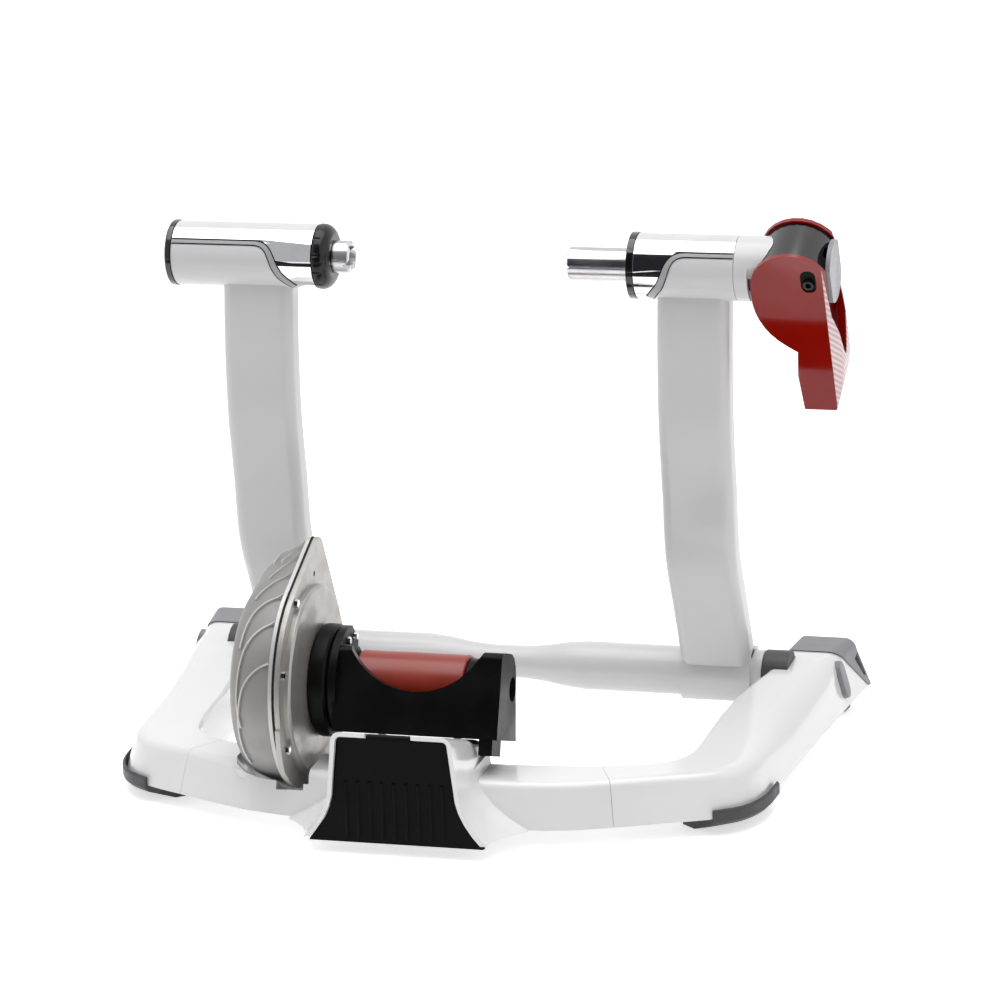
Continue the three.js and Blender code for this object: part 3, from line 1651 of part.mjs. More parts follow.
function lever() {
  const outer = cheekInner + cheekThickness;
  const body = common(alongY(leverOutline(), -outer, outer, tiny), leverBack());
  const bay = new THREE.Shape();
  bay.moveTo(-headRadius * 2, headRadius * 2);
  bay.lineTo(-headRadius * 2, -leverLength * 1.2);
  bay.lineTo(leverEndOuter - leverWeb * 1.6, -leverLength * 1.2);
  bay.lineTo(leverEndOuter - leverWeb * 1.6, -leverLength);
  bay.lineTo(leverBackEdge - leverWeb * 1.6, -notchApex);
  bay.lineTo(leverBackEdge - leverWeb * 1.6, headRadius * 2);
  const room = alongY(bay, -cheekInner, cheekInner);
  const notch = new THREE.Shape();
  notch.moveTo(-cheekInner, headRadius * 2);
  notch.lineTo(-cheekInner, -notchSquare);
  notch.quadraticCurveTo(-cheekInner / 3, -notchApex, 0, -notchApex);
  notch.quadraticCurveTo(cheekInner / 3, -notchApex, cheekInner, -notchSquare);
  notch.lineTo(cheekInner, headRadius * 2);
  const window = alongX(notch, 0, headRadius * 2, tiny);
  const pin = alongPin(rod(-outer - overrun, outer + overrun, leverPinRadius + gap, small));
  return cut(body, room, window, pin);
}

function camPlate() {
  const low = camHighRadius - spindleTravel;
  const points = Array.from({ length: fine }, (_, i) => {
    const angle = (fullTurn * i) / fine - 180 + leverSwing;
    let radius = low;
    const fall = 180 - leverSwing;
    const wrapped = ((angle % fullTurn) + fullTurn) % fullTurn;
    if (wrapped >= fall && wrapped <= 180) {
      radius = mix(low, camHighRadius, (wrapped - fall) / leverSwing);
    } else if (wrapped > 180 && wrapped < 270) {
      radius = mix(camHighRadius, low, (wrapped - 180) / 90);
    }
    return new THREE.Vector2(radius * Math.cos(turn(wrapped)), radius * Math.sin(turn(wrapped)));
  });
  return alongY(new THREE.Shape(points), -camHalfWidth, camHalfWidth).translate(leverPinX, 0, leverPinZ);
}

function camPin() {
  const outer = cheekInner + cheekThickness;
  const body = alongPin(turned([
    [-outer - gap - pinEndProud, 0],
    [-outer - gap - pinEndProud, leverPinRadius],
    [outer + gap, leverPinRadius],
    [outer + gap, leverPinHead],
    [outer + gap + pinHeadWidth, leverPinHead - pinHeadEase],
    [outer + gap + pinHeadWidth, 0],
  ], small));
  const socket = alongPin(rod(outer, outer + pinHeadWidth * 3, leverPinRadius * 0.6, tiny));
  return cut(join(body, camPlate()), socket);
}

piece('cradle_right', cradle(rightTubeEnd), paintedWhite, clamp);
piece('tube_collar_right', collarRight(), paintedWhite, head);
piece('return_spring', coil(), steel, clamp);
piece('head_block', headBlock(), glossBlack, head);
piece('head_disc', endDisc(), satinDisc, head);
piece('lever', lever(), redPlastic, head);
piece('lever_cam_pin', camPin(), steel, head);

// The origin lies on the floor under the middle of the whole trainer
trainer.updateMatrixWorld(true);
const extent = new THREE.Box3().setFromObject(trainer, true);
const shiftX = -(extent.min.x + extent.max.x) / 2;
const shiftY = -(extent.min.y + extent.max.y) / 2;
trainer.position.set(shiftX, shiftY, -extent.min.z);

// Joint axes, in the finished frame
trainer.userData.anchors = {
  hinge: [shiftX, hingeY + shiftY, hingeZ],
  roller: [shiftX, rollerAxisY + shiftY, rollerAxisZ],
  tube: [shiftX, tubeY + shiftY, tubeZ],
  leverPin: [
    shiftX + headX + leverPinX,
    shiftY + tubeY - leverPinZ * Math.sin(turn(leverTurn)),
    tubeZ + leverPinZ * Math.cos(turn(leverTurn)),
  ],
  leverPinAxis: [0, Math.cos(turn(leverTurn)), Math.sin(turn(leverTurn))],
};

export default trainer;
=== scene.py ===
import json
import math

import bpy
from mathutils import Matrix, Vector

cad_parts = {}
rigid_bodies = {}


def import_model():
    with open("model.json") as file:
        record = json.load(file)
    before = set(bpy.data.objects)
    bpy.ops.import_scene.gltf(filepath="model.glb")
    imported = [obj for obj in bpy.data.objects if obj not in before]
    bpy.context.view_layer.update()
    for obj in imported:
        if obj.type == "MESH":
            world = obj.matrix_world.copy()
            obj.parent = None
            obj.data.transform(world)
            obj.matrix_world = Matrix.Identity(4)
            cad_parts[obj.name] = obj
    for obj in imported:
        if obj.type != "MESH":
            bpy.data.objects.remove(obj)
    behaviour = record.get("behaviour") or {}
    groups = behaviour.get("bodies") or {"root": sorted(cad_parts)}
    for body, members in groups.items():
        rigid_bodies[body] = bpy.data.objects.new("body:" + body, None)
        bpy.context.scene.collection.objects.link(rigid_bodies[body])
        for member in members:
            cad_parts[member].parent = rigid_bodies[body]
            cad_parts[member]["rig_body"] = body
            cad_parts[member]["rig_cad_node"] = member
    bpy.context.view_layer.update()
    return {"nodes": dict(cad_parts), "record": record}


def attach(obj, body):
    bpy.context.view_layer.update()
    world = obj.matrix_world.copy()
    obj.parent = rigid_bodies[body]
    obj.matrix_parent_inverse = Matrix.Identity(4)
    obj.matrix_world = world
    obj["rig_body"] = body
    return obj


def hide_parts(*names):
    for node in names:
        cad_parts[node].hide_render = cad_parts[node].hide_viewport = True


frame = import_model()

print("stage: frame loaded,", len(frame["nodes"]), "nodes")

# Drawing axes of the trainer: X from its middle plane, Y from the front of the arch, in millimetres.
# The brake's axes lean as it does, the head's are turned as its block is, and X runs along roller or tube.
mm = 0.001
drawing = {"shiftX": -1.432, "shiftY": -197.0}
brakeAxes = {"y": 101.6, "z": 95.1, "lean": 20.0}
tubeAxes = {"y": 262.0, "z": 370.0}
headAxes = {"x": 241.0, "turn": 25.0}

toScene = Matrix.Scale(mm, 4) @ Matrix.Translation((drawing["shiftX"], drawing["shiftY"], 0))
brakeFrame = toScene @ Matrix.Translation((0, brakeAxes["y"], brakeAxes["z"])) \
    @ Matrix.Rotation(math.radians(-brakeAxes["lean"]), 4, "X")
tubeFrame = toScene @ Matrix.Translation((0, tubeAxes["y"], tubeAxes["z"]))
headFrame = tubeFrame @ Matrix.Translation((headAxes["x"], 0, 0)) \
    @ Matrix.Rotation(math.radians(headAxes["turn"]), 4, "X")

overrun = 3.0  # how far a cutter reaches past what it cuts
near = 0.01  # how close to a plane a corner counts as on it
welded = {"solid": 2e-6, "drawn": 1e-6}  # corners closer than this become one

remade = set()  # solids whose place a new piece has taken


# Selecting and editing, the way it is done by hand

def clearSelection():
    if bpy.context.mode != "OBJECT":
        bpy.ops.object.mode_set(mode="OBJECT")
    bpy.ops.object.select_all(action="DESELECT")


def pick(piece):
    clearSelection()
    piece.hide_viewport = False
    piece.select_set(True)
    bpy.context.view_layer.objects.active = piece
    return piece


def edit(piece, kind="FACE"):
    pick(piece)
    bpy.ops.object.mode_set(mode="EDIT")
    bpy.ops.mesh.select_mode(type=kind)
    bpy.ops.mesh.select_all(action="DESELECT")


def done():
    bpy.ops.object.mode_set(mode="OBJECT")


def choose(piece, test, kind="polygons"):
    bpy.ops.object.mode_set(mode="OBJECT")
    for part in getattr(piece.data, kind):
        part.select = bool(test(part))
    bpy.ops.object.mode_set(mode="EDIT")


# Rounds the edges chosen, and leaves edit mode
def easeEdges(offset, segments):
    bpy.ops.mesh.bevel(offset=offset, segments=segments, affect="EDGES", profile=0.5)
    done()


# Smooth shading under an angle; flat keeps the larger faces level beside their eased edges
def smooth(piece, angle=30, flat=True):
    pick(piece)
    bpy.ops.object.shade_smooth_by_angle(angle=math.radians(angle))
    if flat:
        level = piece.modifiers.new("flatFaces", "WEIGHTED_NORMAL")
        level.keep_sharp = True
        bpy.ops.object.modifier_apply(modifier=level.name)
    return piece


def addBevel(piece, width, segments=2, angle=28):
    pick(piece)
    bevel = piece.modifiers.new("edges", "BEVEL")
    bevel.width = width
    bevel.segments = segments
    bevel.limit_method = "ANGLE"
    bevel.angle_limit = math.radians(angle)
    bevel.use_clamp_overlap = True
    bevel.miter_outer = "MITER_ARC"
    bpy.ops.object.modifier_apply(modifier=bevel.name)
    return piece


def thicken(piece, width, offset):
    pick(piece)
    wall = piece.modifiers.new("thickness", "SOLIDIFY")
    wall.thickness = width
    wall.offset = offset
    bpy.ops.object.modifier_apply(modifier=wall.name)
    return piece


def settle(piece):
    pick(piece)
    bpy.ops.object.transform_apply(location=True, rotation=True, scale=True)
    return piece


def place(piece, axes):
    piece.matrix_world = axes @ piece.matrix_world
    return settle(piece)


# Dresses a piece, ties it to its body, and lets it take the place of the solids named
def wear(piece, body, finish, slot, *nodes):
    piece.data.materials.clear()
    piece.data.materials.append(made[finish])
    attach(piece, body)
    if nodes:
        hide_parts(*nodes)
        remade.update(nodes)
    return piece


# A copy of a solid, welded, its flat faces made whole and its edges eased
def refine(node, name, ease=0.5, segments=2, angle=28, flat=0.6, soft=32):
    source = frame["nodes"][node]
    clearSelection()
    source.select_set(True)
    bpy.context.view_layer.objects.active = source
    bpy.ops.object.duplicate()
    piece = bpy.context.active_object
    piece.name = name
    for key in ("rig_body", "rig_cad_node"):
        if key in piece:
            del piece[key]
    piece.parent = None
    piece.matrix_world = Matrix.Identity(4)
    bpy.ops.object.mode_set(mode="EDIT")
    bpy.ops.mesh.select_all(action="SELECT")
    bpy.ops.mesh.remove_doubles(threshold=welded["solid"])
    if flat:
        bpy.ops.mesh.dissolve_limited(angle_limit=math.radians(flat))
    bpy.ops.object.mode_set(mode="OBJECT")
    if ease:
        addBevel(piece, ease * mm, segments, angle)
    return smooth(piece, soft)


# Points along a smooth curve through the given ones
def smoothPath(points, steps):
    spots = [Vector(point) for point in points]
    spots = [2 * spots[0] - spots[1], *spots, 2 * spots[-1] - spots[-2]]
    path = []
    for i in range(1, len(spots) - 2):
        before, first, second, after = spots[i - 1:i + 3]
        slope = second - before
        bend = 2 * before - 5 * first + 4 * second - after
        twist = 3 * first - before - 3 * second + after
        for k in range(steps):
            t = k / steps
            path.append(first + 0.5 * (slope * t + bend * t ** 2 + twist * t ** 3))
    return [*path, spots[-2]]


# Which way a path runs at each of its points
def headings(path):
    return [path[min(i + 1, len(path) - 1)] - path[max(i - 1, 0)] for i in range(len(path))]


# Doubles merged, then faces turned outwards
def mend(piece):
    pick(piece)
    bpy.ops.object.mode_set(mode="EDIT")
    bpy.ops.mesh.select_all(action="SELECT")
    bpy.ops.mesh.remove_doubles(threshold=welded["drawn"])
    bpy.ops.mesh.normals_make_consistent(inside=False)
    bpy.ops.object.mode_set(mode="OBJECT")
    return piece


def addSolid(kind, name, **values):
    clearSelection()
    getattr(bpy.ops.mesh, "primitive_" + kind + "_add")(**values)
    piece = bpy.context.active_object
    piece.name = name
    return piece


# A mesh of one corner, left selected in edit mode, to be drawn out
def startPoint(name, spot):
    piece = settle(addSolid("plane", name, size=1, location=spot))
    edit(piece, "VERT")
    bpy.ops.mesh.select_all(action="SELECT")
    bpy.ops.mesh.merge(type="CENTER")
    return piece


def addRod(name, start, end, radius, vertices=48):
    start, end = Vector(start), Vector(end)
    return addSolid("cylinder", name, vertices=vertices, radius=radius, depth=(end - start).length,
                    location=(start + end) / 2, rotation=(end - start).to_track_quat("Z", "Y").to_euler())


def joined(pieces, name):
    clearSelection()
    for piece in pieces:
        piece.select_set(True)
    bpy.context.view_layer.objects.active = pieces[0]
    bpy.ops.object.join()
    piece = bpy.context.active_object
    piece.name = name
    return piece


# A copy with its own mesh, turned about the X axis of the drawing it is made in
def turnedCopy(piece, name, angle):
    pick(piece)
    bpy.ops.object.duplicate()
    copy = bpy.context.active_object
    copy.name = name
    copy.rotation_euler = (math.radians(angle), 0, 0)
    return settle(copy)


# Shared effects, each one group with its values as inputs

def newGroup(name, inputs, outputs):
    group = bpy.data.node_groups.new(name, "ShaderNodeTree")
    for label, value in inputs.items():
        socket = group.interface.new_socket(name=label, in_out="INPUT", socket_type="NodeSocketFloat")
        socket.default_value = value
    for label in outputs:
        group.interface.new_socket(name=label, in_out="OUTPUT", socket_type="NodeSocketFloat")
    return group, group.nodes.new("NodeGroupInput").outputs, group.nodes.new("NodeGroupOutput").inputs


# A socket takes a plain value, or what another node gives
def feed(tree, value, socket):
    if isinstance(value, bpy.types.NodeSocket):
        tree.links.new(value, socket)
    else:
        socket.default_value = value


def objectPlace(tree):
    return tree.nodes.new("ShaderNodeTexCoord").outputs["Object"]


def splitPlace(tree, value):
    parts = tree.nodes.new("ShaderNodeSeparateXYZ")
    tree.links.new(value, parts.inputs[0])
    return parts.outputs


def noiseNode(tree, where, scale, detail, roughness):
    noise = tree.nodes.new("ShaderNodeTexNoise")
    tree.links.new(where, noise.inputs["Vector"])
    for label, value in (("Scale", scale), ("Detail", detail), ("Roughness", roughness)):
        feed(tree, value, noise.inputs[label])
    return noise.outputs["Fac"]


def mathNode(tree, operation, first, second=0.0, clamp=False):
    node = tree.nodes.new("ShaderNodeMath")
    node.operation = operation
    node.use_clamp = clamp
    feed(tree, first, node.inputs[0])
    feed(tree, second, node.inputs[1])
    return node.outputs[0]


def spread(tree, value, low, high, toLow=0.0, toHigh=1.0):
    node = tree.nodes.new("ShaderNodeMapRange")
    node.interpolation_type = "SMOOTHSTEP"
    for label, limit in (("From Min", low), ("From Max", high), ("To Min", toLow), ("To Max", toHigh)):
        node.inputs[label].default_value = limit
    tree.links.new(value, node.inputs["Value"])
    return node.outputs["Result"]


# Noise of each skin: its scale where fixed, detail and roughness, and the limits it is spread between
textures = {
    "moulded": {"grain": (3, 0.6), "patch": (4, 0.55), "limits": (0.32, 0.7)},
    "cast": {"grain": (5, 0.65), "pits": (0.05, 0.4), "patch": (40, 4, 0.6), "limits": (0.3, 0.72)},
    "turned": {"patch": (60, 3, 0.6), "limits": (0.3, 0.7)},
    "polish": {"grain": (3, 0.6), "patch": (35, 3, 0.6), "limits": (0.35, 0.7)},
    "dust": {"grain": (6, 0.7), "limits": (0.42, 0.75), "facing": (0.2, 1.0)},
    # the ribs' limits turn the crests to the first colour and the troughs to the second: painted highlight
    # and shade
    "ribs": {"crest": (-0.6, 0.6), "limits": (0.5, -0.5)},
}


# Broad faint patches, where the second colour of a finish shows
def addPatches(group, where, noise, limits, result):
    group.links.new(spread(group, noiseNode(group, where, *noise), *limits), result["Patch"])


# Fine grain of a moulded or painted face
def makeMouldedSkin():
    look = textures["moulded"]
    group, given, result = newGroup("mouldedSkin", {"Scale": 900.0, "Blotch": 22.0}, ("Height", "Patch"))
    where = objectPlace(group)
    group.links.new(noiseNode(group, where, given["Scale"], *look["grain"]), result["Height"])
    addPatches(group, where, (given["Blotch"], *look["patch"]), look["limits"], result)
    return group


# Pitted grain of cast metal
def makeCastSkin():
    look = textures["cast"]
    group, given, result = newGroup("castSkin", {"Scale": 700.0, "Pits": 260.0}, ("Height", "Patch"))
    where = objectPlace(group)
    pits = group.nodes.new("ShaderNodeTexVoronoi")
    group.links.new(where, pits.inputs["Vector"])
    group.links.new(given["Pits"], pits.inputs["Scale"])
    pitted = spread(group, pits.outputs["Distance"], *look["pits"])
    grain = noiseNode(group, where, given["Scale"], *look["grain"])
    group.links.new(mathNode(group, "MULTIPLY", grain, pitted), result["Height"])
    addPatches(group, where, look["patch"], look["limits"], result)
    return group


# Fine rings left by turning, about an axis along X
def makeTurnedRings():
    look = textures["turned"]
    group, given, result = newGroup(
        "turnedRings", {"Axis Y": 0.0, "Axis Z": 0.0, "Rings": 1400.0}, ("Height", "Patch"))
    where = objectPlace(group)
    parts = splitPlace(group, where)
    across = mathNode(group, "SUBTRACT", parts["Y"], given["Axis Y"])
    above = mathNode(group, "SUBTRACT", parts["Z"], given["Axis Z"])
    square = mathNode(group, "ADD", *(mathNode(group, "MULTIPLY", side, side) for side in (across, above)))
    turned = mathNode(group, "MULTIPLY", mathNode(group, "SQRT", square), given["Rings"])
    group.links.new(spread(group, mathNode(group, "SINE", turned), -1, 1), result["Height"])
    addPatches(group, where, look["patch"], look["limits"], result)
    return group


# Scratches drawn out round the X axis, as on plated tube
def makePolishLines():
    look = textures["polish"]
    group, given, result = newGroup("polishLines", {"Scale": 500.0, "Stretch": 0.05}, ("Height", "Patch"))
    where = objectPlace(group)
    parts = splitPlace(group, where)
    drawnOut = group.nodes.new("ShaderNodeCombineXYZ")
    group.links.new(parts["X"], drawnOut.inputs["X"])
    for axis in "YZ":
        group.links.new(mathNode(group, "MULTIPLY", parts[axis], given["Stretch"]), drawnOut.inputs[axis])
    group.links.new(noiseNode(group, drawnOut.outputs[0], given["Scale"], *look["grain"]), result["Height"])
    addPatches(group, where, look["patch"], look["limits"], result)
    return group


# Dust that settles on faces that look up
def makeSettledDust():
    look = textures["dust"]
    group, given, result = newGroup("settledDust", {"Scale": 130.0, "Amount": 0.2}, ("Mask",))
    normal = splitPlace(group, group.nodes.new("ShaderNodeNewGeometry").outputs["Normal"])
    up = spread(group, normal["Z"], *look["facing"])
    specks = noiseNode(group, objectPlace(group), given["Scale"], *look["grain"])
    settled = mathNode(group, "MULTIPLY", up, spread(group, specks, *look["limits"]))
    group.links.new(mathNode(group, "MULTIPLY", settled, given["Amount"]), result["Mask"])
    return group


# Slanting ribs across a face that looks along X, with a patch that paints their crests lighter and their
# troughs darker: painted highlight and shade
def makeRibs():
    look = textures["ribs"]
    group, given, result = newGroup("ribs", {"Pitch": 1750.0, "Slant": 0.6}, ("Height", "Patch"))
    parts = splitPlace(group, objectPlace(group))
    along = mathNode(group, "ADD", parts["Z"], mathNode(group, "MULTIPLY", parts["Y"], given["Slant"]))
    wave = mathNode(group, "SINE", mathNode(group, "MULTIPLY", along, given["Pitch"]))
    group.links.new(spread(group, wave, *look["crest"]), result["Height"])
    group.links.new(spread(group, wave, *look["limits"]), result["Patch"])
    return group


skins = {
    "moulded": makeMouldedSkin(),
    "ribs": makeRibs(),
    "cast": makeCastSkin(),
    "turned": makeTurnedRings(),
    "polish": makePolishLines(),
}
settledDust = makeSettledDust()
dustLook = {"colour": (0.62, 0.61, 0.58), "rough": 0.5}


def mixColour(tree, factor, first, second):
    node = tree.nodes.new("ShaderNodeMix")
    node.data_type = "RGBA"
    feed(tree, factor, node.inputs["Factor"])
    for socket, value in ((node.inputs[6], first), (node.inputs[7], second)):
        feed(tree, (*value, 1) if isinstance(value, tuple) else value, socket)
    return node.outputs[2]


# A finish: two close colours, a range of roughness, one skin with its values, and dust if any
def makeFinish(name, look):
    material = bpy.data.materials.new(name)
    material.use_nodes = True
    tree = material.node_tree
    shader = tree.nodes["Principled BSDF"]
    skin = tree.nodes.new("ShaderNodeGroup")
    skin.node_tree = skins[look["skin"]]
    for label, value in look["values"].items():
        skin.inputs[label].default_value = value
    colour = mixColour(tree, skin.outputs["Patch"], look["colour"], look["shade"])
    rough = spread(tree, skin.outputs["Patch"], 0, 1, *look["rough"])
    if "dust" in look:
        dust = tree.nodes.new("ShaderNodeGroup")
        dust.node_tree = settledDust
        dust.inputs["Amount"].default_value = look["dust"]
        mask = dust.outputs["Mask"]
        colour = mixColour(tree, mask, colour, dustLook["colour"])
        rough = mathNode(tree, "ADD", rough, mathNode(tree, "MULTIPLY", mask, dustLook["rough"]), True)
    tree.links.new(colour, shader.inputs["Base Color"])
    tree.links.new(rough, shader.inputs["Roughness"])
    shader.inputs["Metallic"].default_value = look.get("metal", 0.0)
    shader.inputs["Coat Weight"].default_value = look.get("coat", 0.0)
    shader.inputs["Coat Roughness"].default_value = look.get("coatRough", 0.08)
    shader.inputs["Specular IOR Level"].default_value = look.get("specular", 0.5)
    bump = tree.nodes.new("ShaderNodeBump")
    bump.inputs["Strength"].default_value = look["bump"]
    bump.inputs["Distance"].default_value = look.get("depth", 0.0002)
    tree.links.new(skin.outputs["Height"], bump.inputs["Height"])
    tree.links.new(bump.outputs["Normal"], shader.inputs["Normal"])
    return material


finishes = {
    "whiteShell": {
        "colour": (0.88, 0.88, 0.885), "shade": (0.872, 0.872, 0.878), "rough": (0.14, 0.18),
        "coat": 0.4, "skin": "moulded", "values": {"Scale": 260.0, "Blotch": 14.0}, "bump": 0.04,
    },
    # The frame's white is set greyer than the shell's, so that part of the shade on the arms' front faces
    # is painted into the colour
    "framePaint": {
        "colour": (0.7, 0.7, 0.71), "shade": (0.696, 0.696, 0.706), "rough": (0.3, 0.31),
        "coat": 0.2, "coatRough": 0.1,
        "skin": "moulded", "values": {"Scale": 900.0, "Blotch": 18.0}, "bump": 0.02,
    },
    "blackMoulding": {
        "colour": (0.004, 0.0035, 0.0035), "shade": (0.006, 0.0055, 0.0055), "rough": (0.3, 0.42),
        "specular": 0.1, "skin": "moulded", "values": {"Scale": 1500.0, "Blotch": 30.0}, "bump": 0.12,
    },
    "panelBlack": {
        "colour": (0.002, 0.002, 0.002), "shade": (0.003, 0.003, 0.003), "rough": (0.4, 0.52),
        "specular": 0.08, "skin": "moulded", "values": {"Scale": 1300.0, "Blotch": 26.0}, "bump": 0.15,
    },
    "glossBlack": {
        "colour": (0.006, 0.006, 0.007), "shade": (0.01, 0.01, 0.011), "rough": (0.1, 0.16),
        "specular": 0.5, "coat": 0.5, "coatRough": 0.04,
        "skin": "moulded", "values": {"Scale": 300.0, "Blotch": 30.0}, "bump": 0.01,
    },
    "knobBlack": {
        "colour": (0.006, 0.006, 0.007), "shade": (0.01, 0.01, 0.011), "rough": (0.16, 0.22),
        "specular": 0.3, "coat": 0.1,
        "skin": "moulded", "values": {"Scale": 300.0, "Blotch": 30.0}, "bump": 0.01,
    },
    "greyMoulding": {
        "colour": (0.245, 0.245, 0.268), "shade": (0.255, 0.255, 0.278), "rough": (0.38, 0.5),
        "skin": "moulded", "values": {"Scale": 1200.0, "Blotch": 24.0}, "bump": 0.2, "dust": 0.06,
    },
    "footRubber": {
        "colour": (0.035, 0.036, 0.04), "shade": (0.05, 0.051, 0.055), "rough": (0.45, 0.65),
        "skin": "moulded", "values": {"Scale": 1100.0, "Blotch": 40.0}, "bump": 0.35, "dust": 0.1,
    },
    "bushGrey": {
        "colour": (0.055, 0.055, 0.058), "shade": (0.065, 0.065, 0.068), "rough": (0.4, 0.5),
        "skin": "moulded", "values": {"Scale": 1200.0, "Blotch": 24.0}, "bump": 0.15,
    },
    "spindleSteel": {
        "colour": (0.6, 0.6, 0.62), "shade": (0.52, 0.52, 0.54), "rough": (0.2, 0.26),
        "metal": 1.0, "skin": "polish", "values": {"Scale": 700.0, "Stretch": 0.1}, "bump": 0.1,
    },
    "boltSteel": {
        "colour": (0.85, 0.85, 0.86), "shade": (0.8, 0.8, 0.8), "rough": (0.1, 0.16),
        "metal": 1.0, "skin": "polish", "values": {"Scale": 900.0, "Stretch": 0.4}, "bump": 0.1,
    },
    "coverAlloy": {
        "colour": (0.44, 0.425, 0.405), "shade": (0.4, 0.385, 0.365), "rough": (0.34, 0.42),
        "metal": 0.55,
        "skin": "turned", "values": {"Axis Y": -0.0954, "Axis Z": 0.0951, "Rings": 9000.0},
        "bump": 0.05, "depth": 0.0001,
    },
    "castAlloy": {
        "colour": (0.31, 0.305, 0.30), "shade": (0.285, 0.28, 0.275), "rough": (0.42, 0.52),
        "metal": 0.3,
        "skin": "cast", "values": {"Scale": 900.0, "Pits": 420.0}, "bump": 0.3, "depth": 0.0003,
    },
    # A lighter copy of the cast alloy that paints the highlights along the dome's rim and the edges of its
    # blades
    "alloyPaintedHighlight": {
        "colour": (0.62, 0.61, 0.59), "shade": (0.56, 0.55, 0.53), "rough": (0.28, 0.4),
        "metal": 0.3,
        "skin": "cast", "values": {"Scale": 900.0, "Pits": 500.0}, "bump": 0.15, "depth": 0.0002,
    },
    "sealRubber": {
        "colour": (0.02, 0.02, 0.022), "shade": (0.03, 0.03, 0.032), "rough": (0.5, 0.7),
        "skin": "moulded", "values": {"Scale": 900.0, "Blotch": 50.0}, "bump": 0.3,
    },
    "rollerRed": {
        "colour": (0.28, 0.018, 0.005), "shade": (0.3, 0.022, 0.006), "rough": (0.3, 0.38),
        "specular": 0.6, "skin": "polish", "values": {"Scale": 900.0, "Stretch": 0.06}, "bump": 0.1,
    },
    "leverRed": {
        "colour": (0.27, 0.004, 0.001), "shade": (0.29, 0.006, 0.002), "rough": (0.07, 0.1),
        "specular": 0.5, "coat": 0.25, "coatRough": 0.06,
        "skin": "moulded", "values": {"Scale": 500.0, "Blotch": 20.0}, "bump": 0.02,
    },
    "tubeChrome": {
        "colour": (0.86, 0.865, 0.875), "shade": (0.8, 0.81, 0.82), "rough": (0.03, 0.08),
        "metal": 1.0,
        "skin": "polish", "values": {"Scale": 420.0, "Stretch": 0.05}, "bump": 0.02, "depth": 0.0001,
    },
    "discAlloy": {
        "colour": (0.27, 0.27, 0.29), "shade": (0.25, 0.25, 0.27), "rough": (0.24, 0.34),
        "metal": 0.0, "skin": "moulded", "values": {"Scale": 600.0, "Blotch": 30.0}, "bump": 0.04,
    },
    "trimGrey": {
        "colour": (0.42, 0.42, 0.435), "shade": (0.38, 0.38, 0.395), "rough": (0.3, 0.4),
        "skin": "moulded", "values": {"Scale": 600.0, "Blotch": 30.0}, "bump": 0.05,
    },
    "pinBlack": {
        "colour": (0.02, 0.02, 0.022), "shade": (0.03, 0.03, 0.032), "rough": (0.2, 0.3),
        "metal": 0.4, "skin": "moulded", "values": {"Scale": 600.0, "Blotch": 30.0}, "bump": 0.04,
    },
    # Pale pink that paints the glancing highlight on the red lever's ribbed web; its darker second colour
    # paints the shade in the rib troughs
    "padPink": {
        "colour": (0.93, 0.78, 0.79), "shade": (0.74, 0.48, 0.5), "rough": (0.3, 0.4),
        "skin": "ribs", "values": {"Pitch": 1750.0, "Slant": 0.6}, "bump": 0.5, "depth": 0.0006,
    },
}
made = {name: makeFinish(name, look) for name, look in finishes.items()}
print("stage: finishes made,", len(made))

